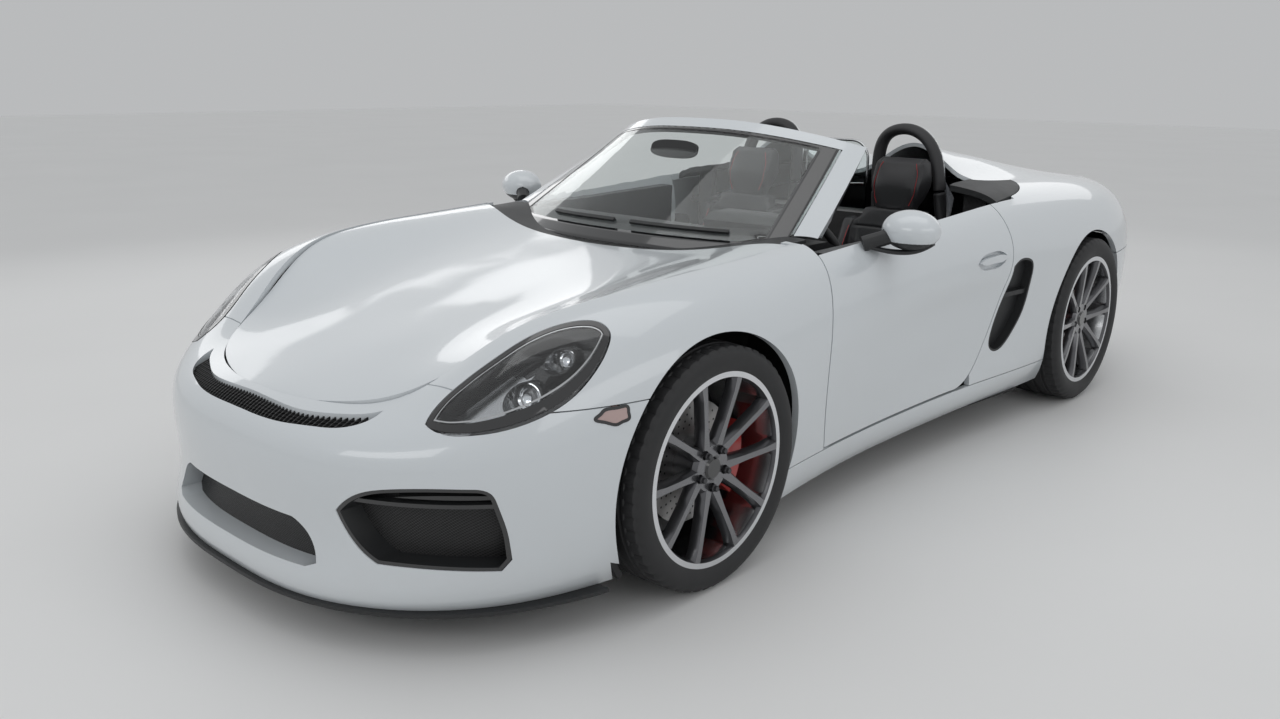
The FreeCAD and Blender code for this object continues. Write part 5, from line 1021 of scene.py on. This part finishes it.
def seat_cushion():
    """The left seat as one upholstered shell: remeshed, drawn in, swelled with air, rounded, then sewn."""
    piece = merged_copy("seat_left", "seat_cushion_left")
    applied(piece, "REMESH", mode="VOXEL", voxel_size=0.010)
    applied(piece, "DISPLACE", strength=-0.009, mid_level=0.0)
    applied(piece, "SMOOTH", factor=0.5, iterations=6)
    swell(piece, 0.013)
    applied(piece, "SMOOTH", factor=0.5, iterations=3)
    applied(piece, "SUBSURF", levels=1, render_levels=1)
    points = positions(piece.data)
    head = np.clip(np.abs(points[:, 2] - 0.945) / 0.118, 0, 1) ** 3 * (points[:, 2] > 0.829)
    points[:, 0] = seat_x + (points[:, 0] - seat_x) * (1 - 0.34 * head)
    move_points(piece, points)
    piece.data.update()
    points, normals = positions(piece.data), read(piece.data.vertices, "normal")
    move_points(piece, points - normals * seat_seams(points, normals)[:, None])
    piece.data.materials.clear()
    piece.data.shade_smooth()
    return piece


def thread(name, piece, starts, way, radius=0.0012):
    """Row of stitches laid on a piece where rays meet it: a fine rod whose radius swells once a stitch."""
    rays = smooth_path(starts, 300)
    spots = surface_drop(piece, rays, way)
    spots = spots[np.linalg.norm(spots - rays, axis=1) > 1e-6]
    spots = (np.roll(spots, 1, 0) + spots + np.roll(spots, -1, 0))[1:-1] / 3 - np.asarray(way, float) * 0.0004
    beat = np.abs(np.sin(np.arange(len(spots)) * math.pi / 3.0))
    return tube(name, spots, radius * (0.35 + 0.65 * beat), 6)


cushion = seat_cushion()
head_rows = ((0.070, 0.850), (0.088, 0.885), (0.094, 0.940), (0.086, 0.985), (0.072, 1.012))
for tag, flip in (("outer", 1), ("inner", -1)):
    for row, starts, way in (
            ("back", [(seat_x + flip * 0.160, -0.5, 0.400 + 0.09 * i) for i in range(5)], (0, 1, 0)),
            ("base", [(seat_x + flip * 0.160, -0.185 + 0.08 * i, 0.7) for i in range(5)], (0, 0, -1)),
            ("head", [(seat_x + flip * x, -0.5, z) for x, z in head_rows], (0, 1, 0))):
        on_both_sides(thread(row + "_thread_" + tag + "_left", cushion, starts, way), red_thread)
for side, piece in zip(("left", "right"), on_both_sides(cushion, leather)):
    bpy.data.objects.remove(bpy.data.objects["seat_" + side + "_skin"])
    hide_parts("seat_" + side)
belt_path = [(0.640, 0.560, 0.780), (0.640, 0.520, 0.700), (0.640, 0.430, 0.560), (0.645, 0.330, 0.400),
             (0.650, 0.290, 0.300), (0.650, 0.285, 0.230)]
on_both_sides(ribbon("red_belt_left", belt_path, (0, 0.8, 0.6), 0.046, 0.0022), red_belt)
on_both_sides(plate("belt_buckle_left", (0.131, 0.330, 0.395), (0, 1, 0.3), (0, -0.3, 1), (0.016, 0.034),
                    0.016, 3.0), moulded)


# ------------------------------------------------------------------------ cabin

dial_way = (0, 0.93, -0.37)
for tag, x, radius in (("middle", 0, 0.036), ("left", 0.078, 0.030), ("right", -0.078, 0.030)):
    face = (seat_x + x, along(1.346) + 0.001, 0.668 * height)
    finish(lathe("dial_" + tag, [(-0.004, 1e-4), (-0.004, radius), (0.005, radius), (0.006, radius - 0.002),
                                 (0.002, radius - 0.004), (0.001, 1e-4)], face, dial_way), gloss_black)
    finish(lathe("dial_ring_" + tag, [(0.0052, radius - 0.0006), (0.0070, radius - 0.0012),
                                      (0.0068, radius - 0.0028), (0.0050, radius - 0.0022),
                                      (0.0052, radius - 0.0006)], face, dial_way), chrome)

dash_y, vent_z, dash_up = along(1.3715) + 0.0015, 0.628 * height, (0, -0.08, 1)
finish(plate("centre_screen", (0, dash_y, vent_z), (-1, 0, 0), dash_up, (0.092, 0.030), 0.004, 7.0),
       gloss_black)
for x, tag in ((0.555, "left"), (-0.555, "right"), (0.150, "centre_left"), (-0.150, "centre_right")):
    for row in (1, 2, 3):
        slat = (x, dash_y, vent_z + 0.015 * (row - 2))
        finish(plate("vent_" + tag + "_" + str(row), slat, (-1, 0, 0), dash_up, (0.042, 0.0048), 0.008, 5.0,
                     0.3, 24), moulded)

lever_foot, lever_way = (0, along(1.430), 0.361 * height), (0, 0.12, 1)
boot = [(0, 1e-4), (0, 0.048), (0.004, 0.047), (0.014, 0.036), (0.020, 0.037), (0.030, 0.026), (0.036, 0.026),
        (0.048, 0.014), (0.050, 1e-4)]
knob = [(0.0505, 1e-4), (0.0505, 0.007), (0.082, 0.007), (0.086, 0.015), (0.096, 0.021), (0.108, 0.023),
        (0.120, 0.019), (0.126, 0.010), (0.127, 1e-4)]
finish(lathe("gear_boot", boot, lever_foot, lever_way), leather)
finish(lathe("gear_knob", knob, lever_foot, lever_way), silver)

armrest_path = [(0.700, -0.36, 0.615), (0.694, -0.20, 0.598), (0.690, 0.0, 0.590), (0.692, 0.16, 0.600),
                (0.704, 0.26, 0.618)]
pull_path = [(0.716, -0.30, 0.700), (0.690, -0.24, 0.705), (0.690, -0.10, 0.712), (0.716, -0.04, 0.716)]
for side, flip in sides:
    for name, path, count, radius, segments, flat, material in (
            ("door_armrest_", armrest_path, 40, 0.026, 20, 1.25, leather),
            ("door_pull_", pull_path, 36, 0.0085, 14, 1.0, silver)):
        rod = tube(name + side, smooth_path(np.array(path) * (flip, 1, 1), count), radius, segments, flat)
        finish(rod, material, "door_" + side)


# ---------------------------------------------------------------- tail pieces

on_both_sides(lathe("exhaust_tip_left", [(-0.050, 0.0448), (-0.004, 0.0450), (0.002, 0.0472), (0.005, 0.0462),
                                         (0.005, 0.0440), (-0.002, 0.0425), (-0.002, 0.0448)],
                    (0.058, 2.187, 0.2472), (0, 1, 0)), chrome)
tail_y = float(surface_drop(rear_form, [(0, 3.0, 0.40)], (0, -1, 0))[0][1])
for name, lift, half, thick, power, material in (
        ("plate_holder", 0.0005, (0.272, 0.066), 0.004, 9.0, moulded),
        ("blank_rear_plate", 0.0046, (0.260, 0.055), 0.0025, 12.0, plate_face)):
    finish(plate(name, (0, tail_y + lift, 0.400), (-1, 0, 0), (0, 0, 1), half, thick, power), material)
lining_corners = [(0.470, 0.630, 0.945), (0.516, 0.634, 0.872), (0.574, 0.475, 0.792), (0.512, 0.600, 0.790)]
lining = soft_patch("hoop_side_lining_left", lining_corners, 0.012, (0.32, 0.62))
lining.data.flip_normals()
on_both_sides(lining, grey_cloth)
for form in (front_form, rear_form, bonnet_form, lid_form):
    bpy.data.objects.remove(form)


# ------------------------------------------------------- small cabin fittings

wheel_spot = np.array((seat_x, -0.2004, 0.7224))
tilt = math.radians(24)
wheel_axis = np.array((0, math.cos(tilt), math.sin(tilt)))
wheel_up = np.array((0, -math.sin(tilt), math.cos(tilt)))
finish(plate("horn_pad", wheel_spot + 0.0232 * wheel_axis, (-1, 0, 0), wheel_up, (0.058, 0.047), 0.012, 2.8),
       stitched_pad, "steering_wheel")
for tag, way, across in (("left", (-1, 0, 0), wheel_up), ("right", (1, 0, 0), -wheel_up),
                         ("low", -wheel_up, (-1, 0, 0))):
    middle = wheel_spot + 0.0088 * wheel_axis + 0.104 * np.array(way, float)
    cover = plate("wheel_spoke_cover_" + tag, middle, way, across, (0.040, 0.0125), 0.003, 5.0)
    finish(cover, silver, "steering_wheel")

t = np.linspace(0, math.pi / 2, 9)
half_arch = np.concatenate([[(0.150, 0, 0.796), (0.150, 0, 0.86), (0.150, 0, 0.93)],
                            np.stack([0.075 + 0.075 * np.cos(t), 0 * t, 1.005 + 0.075 * np.sin(t)], 1)])
arch = np.concatenate([half_arch, [(0.03, 0, 1.080)], (half_arch * (-1, 1, 1))[::-1]])
finish(tube("deflector_frame", smooth_path(arch + (0, along(1.750), 0), 90), 0.0055, 12), silver)

hoops, centres, normals = skin("roll_hoops")
from_middle = unit(np.stack([np.abs(centres[:, 0]) - 0.358, centres[:, 2] - 0.93], 1))
turned = np.stack([normals[:, 0] * np.sign(centres[:, 0]), normals[:, 2]], 1)
outside = (turned * from_middle).sum(1) > -0.2
refinish(hoops, silver, outside & (normals[:, 1] > 0.15) & (centres[:, 2] > 0.80))
tub, centres, _ = skin("tub")
refinish(tub, carpet, (np.abs(centres[:, 0]) < 0.70) & (centres[:, 2] > 0.15))
for node in ("dashboard", "centre_console"):
    trim, _, normals = skin(node)
    refinish(trim, stitched_pad, normals[:, 2] > 0.6)

for x, wide, tag in ((0.462, 0.028, "clutch"), (0.375, 0.030, "brake"), (0.285, 0.020, "throttle")):
    finish(plate("pedal_" + tag, (x, -0.700, 0.300), (-1, 0, 0), (0, -0.50, 0.86), (wide, 0.036), 0.008, 5.0),
           silver)
    arm = smooth_path([(x, -0.706, 0.315), (x, -0.722, 0.400), (x, -0.715, 0.470), (x, -0.700, 0.530)], 20)
    finish(tube("pedal_arm_" + tag, arm, 0.007, 10), dark_metal)


# ------------------------------------------------------------ studio, camera

def studio():
    """Pale floor, a wide soft box above, four soft strips round the car and an even pale sky."""
    corners = [(-30, -30, 0), (30, -30, 0), (30, 30, 0), (-30, 30, 0)]
    floor = new_piece("floor", corners, [(0, 1, 2, 3)], False)
    made, tree, shader = new_material("pale_floor")
    colour = blend_colour(tree, noise(tree, 0.8, 5.0), (0.74, 0.74, 0.735, 1), (0.79, 0.79, 0.785, 1))
    feed(tree, shader, {"Base Color": colour, "Roughness": 0.55})
    floor.data.materials.append(made)
    for name, size, spot, aim, power in (
            ("top_box", (5.0, 2.4), (0.4, -0.6, 4.2), (0, 0, 0.6), 30),
            ("left_strip", (5.5, 1.2), (5.2, -1.0, 2.6), (0, 0, 0.5), 23),
            ("right_strip", (5.5, 1.2), (-5.2, 0.5, 2.6), (0, 0, 0.5), 23),
            ("nose_strip", (3.0, 1.2), (0.5, -6.0, 2.8), (0, -1.5, 0.5), 21),
            ("tail_strip", (3.0, 1.2), (0.0, 6.0, 2.8), (0, 1.5, 0.5), 8)):
        lamp = bpy.data.lights.new(name, "AREA")
        lamp.shape = "RECTANGLE"
        lamp.size, lamp.size_y = size
        lamp.energy = power
        holder = in_scene(name, lamp)
        holder.location = spot
        holder.rotation_euler = (Vector(aim) - Vector(spot)).to_track_quat("-Z", "Y").to_euler()
    world = bpy.data.worlds.new("studio")
    bpy.context.scene.world = world
    world.use_nodes = True
    tree = world.node_tree
    darker_seen = maths(tree, "MULTIPLY", wire(tree, "LightPath").outputs["Is Camera Ray"], -0.10)
    feed(tree, tree.nodes["Background"], {"Color": (0.94, 0.955, 0.97, 1),
                                          "Strength": maths(tree, "ADD", darker_seen, 0.62)})


def camera():
    """The photograph's camera: place, turn left of straight back, look down, slight roll, and lens."""
    spot = Vector((2.5001, -3.3831, 1.3477))
    yaw, pitch, roll = 0.740205, 0.262289, 0.010888
    film_width, picture_width, focal_pixels = 36.0, 1280, 1074.06
    forward = Vector((-math.sin(yaw) * math.cos(pitch), math.cos(yaw) * math.cos(pitch), -math.sin(pitch)))
    right = forward.cross(Vector((0, 0, 1))).normalized()
    up = right.cross(forward)
    turned_right = right * math.cos(roll) + up * math.sin(roll)
    turned_up = up * math.cos(roll) - right * math.sin(roll)
    lens = bpy.data.cameras.new("camera")
    lens.sensor_width = film_width
    lens.lens = film_width * focal_pixels / picture_width
    lens.clip_end = 200
    eye = in_scene("camera", lens)
    turn = np.array([turned_right, turned_up, -forward]).T
    eye.matrix_world = Matrix([list(row) + [at] for row, at in zip(turn.tolist(), spot)] + [[0, 0, 0, 1]])
    bpy.context.scene.camera = eye


studio()
camera()
bpy.context.scene.view_settings.view_transform = "Standard"
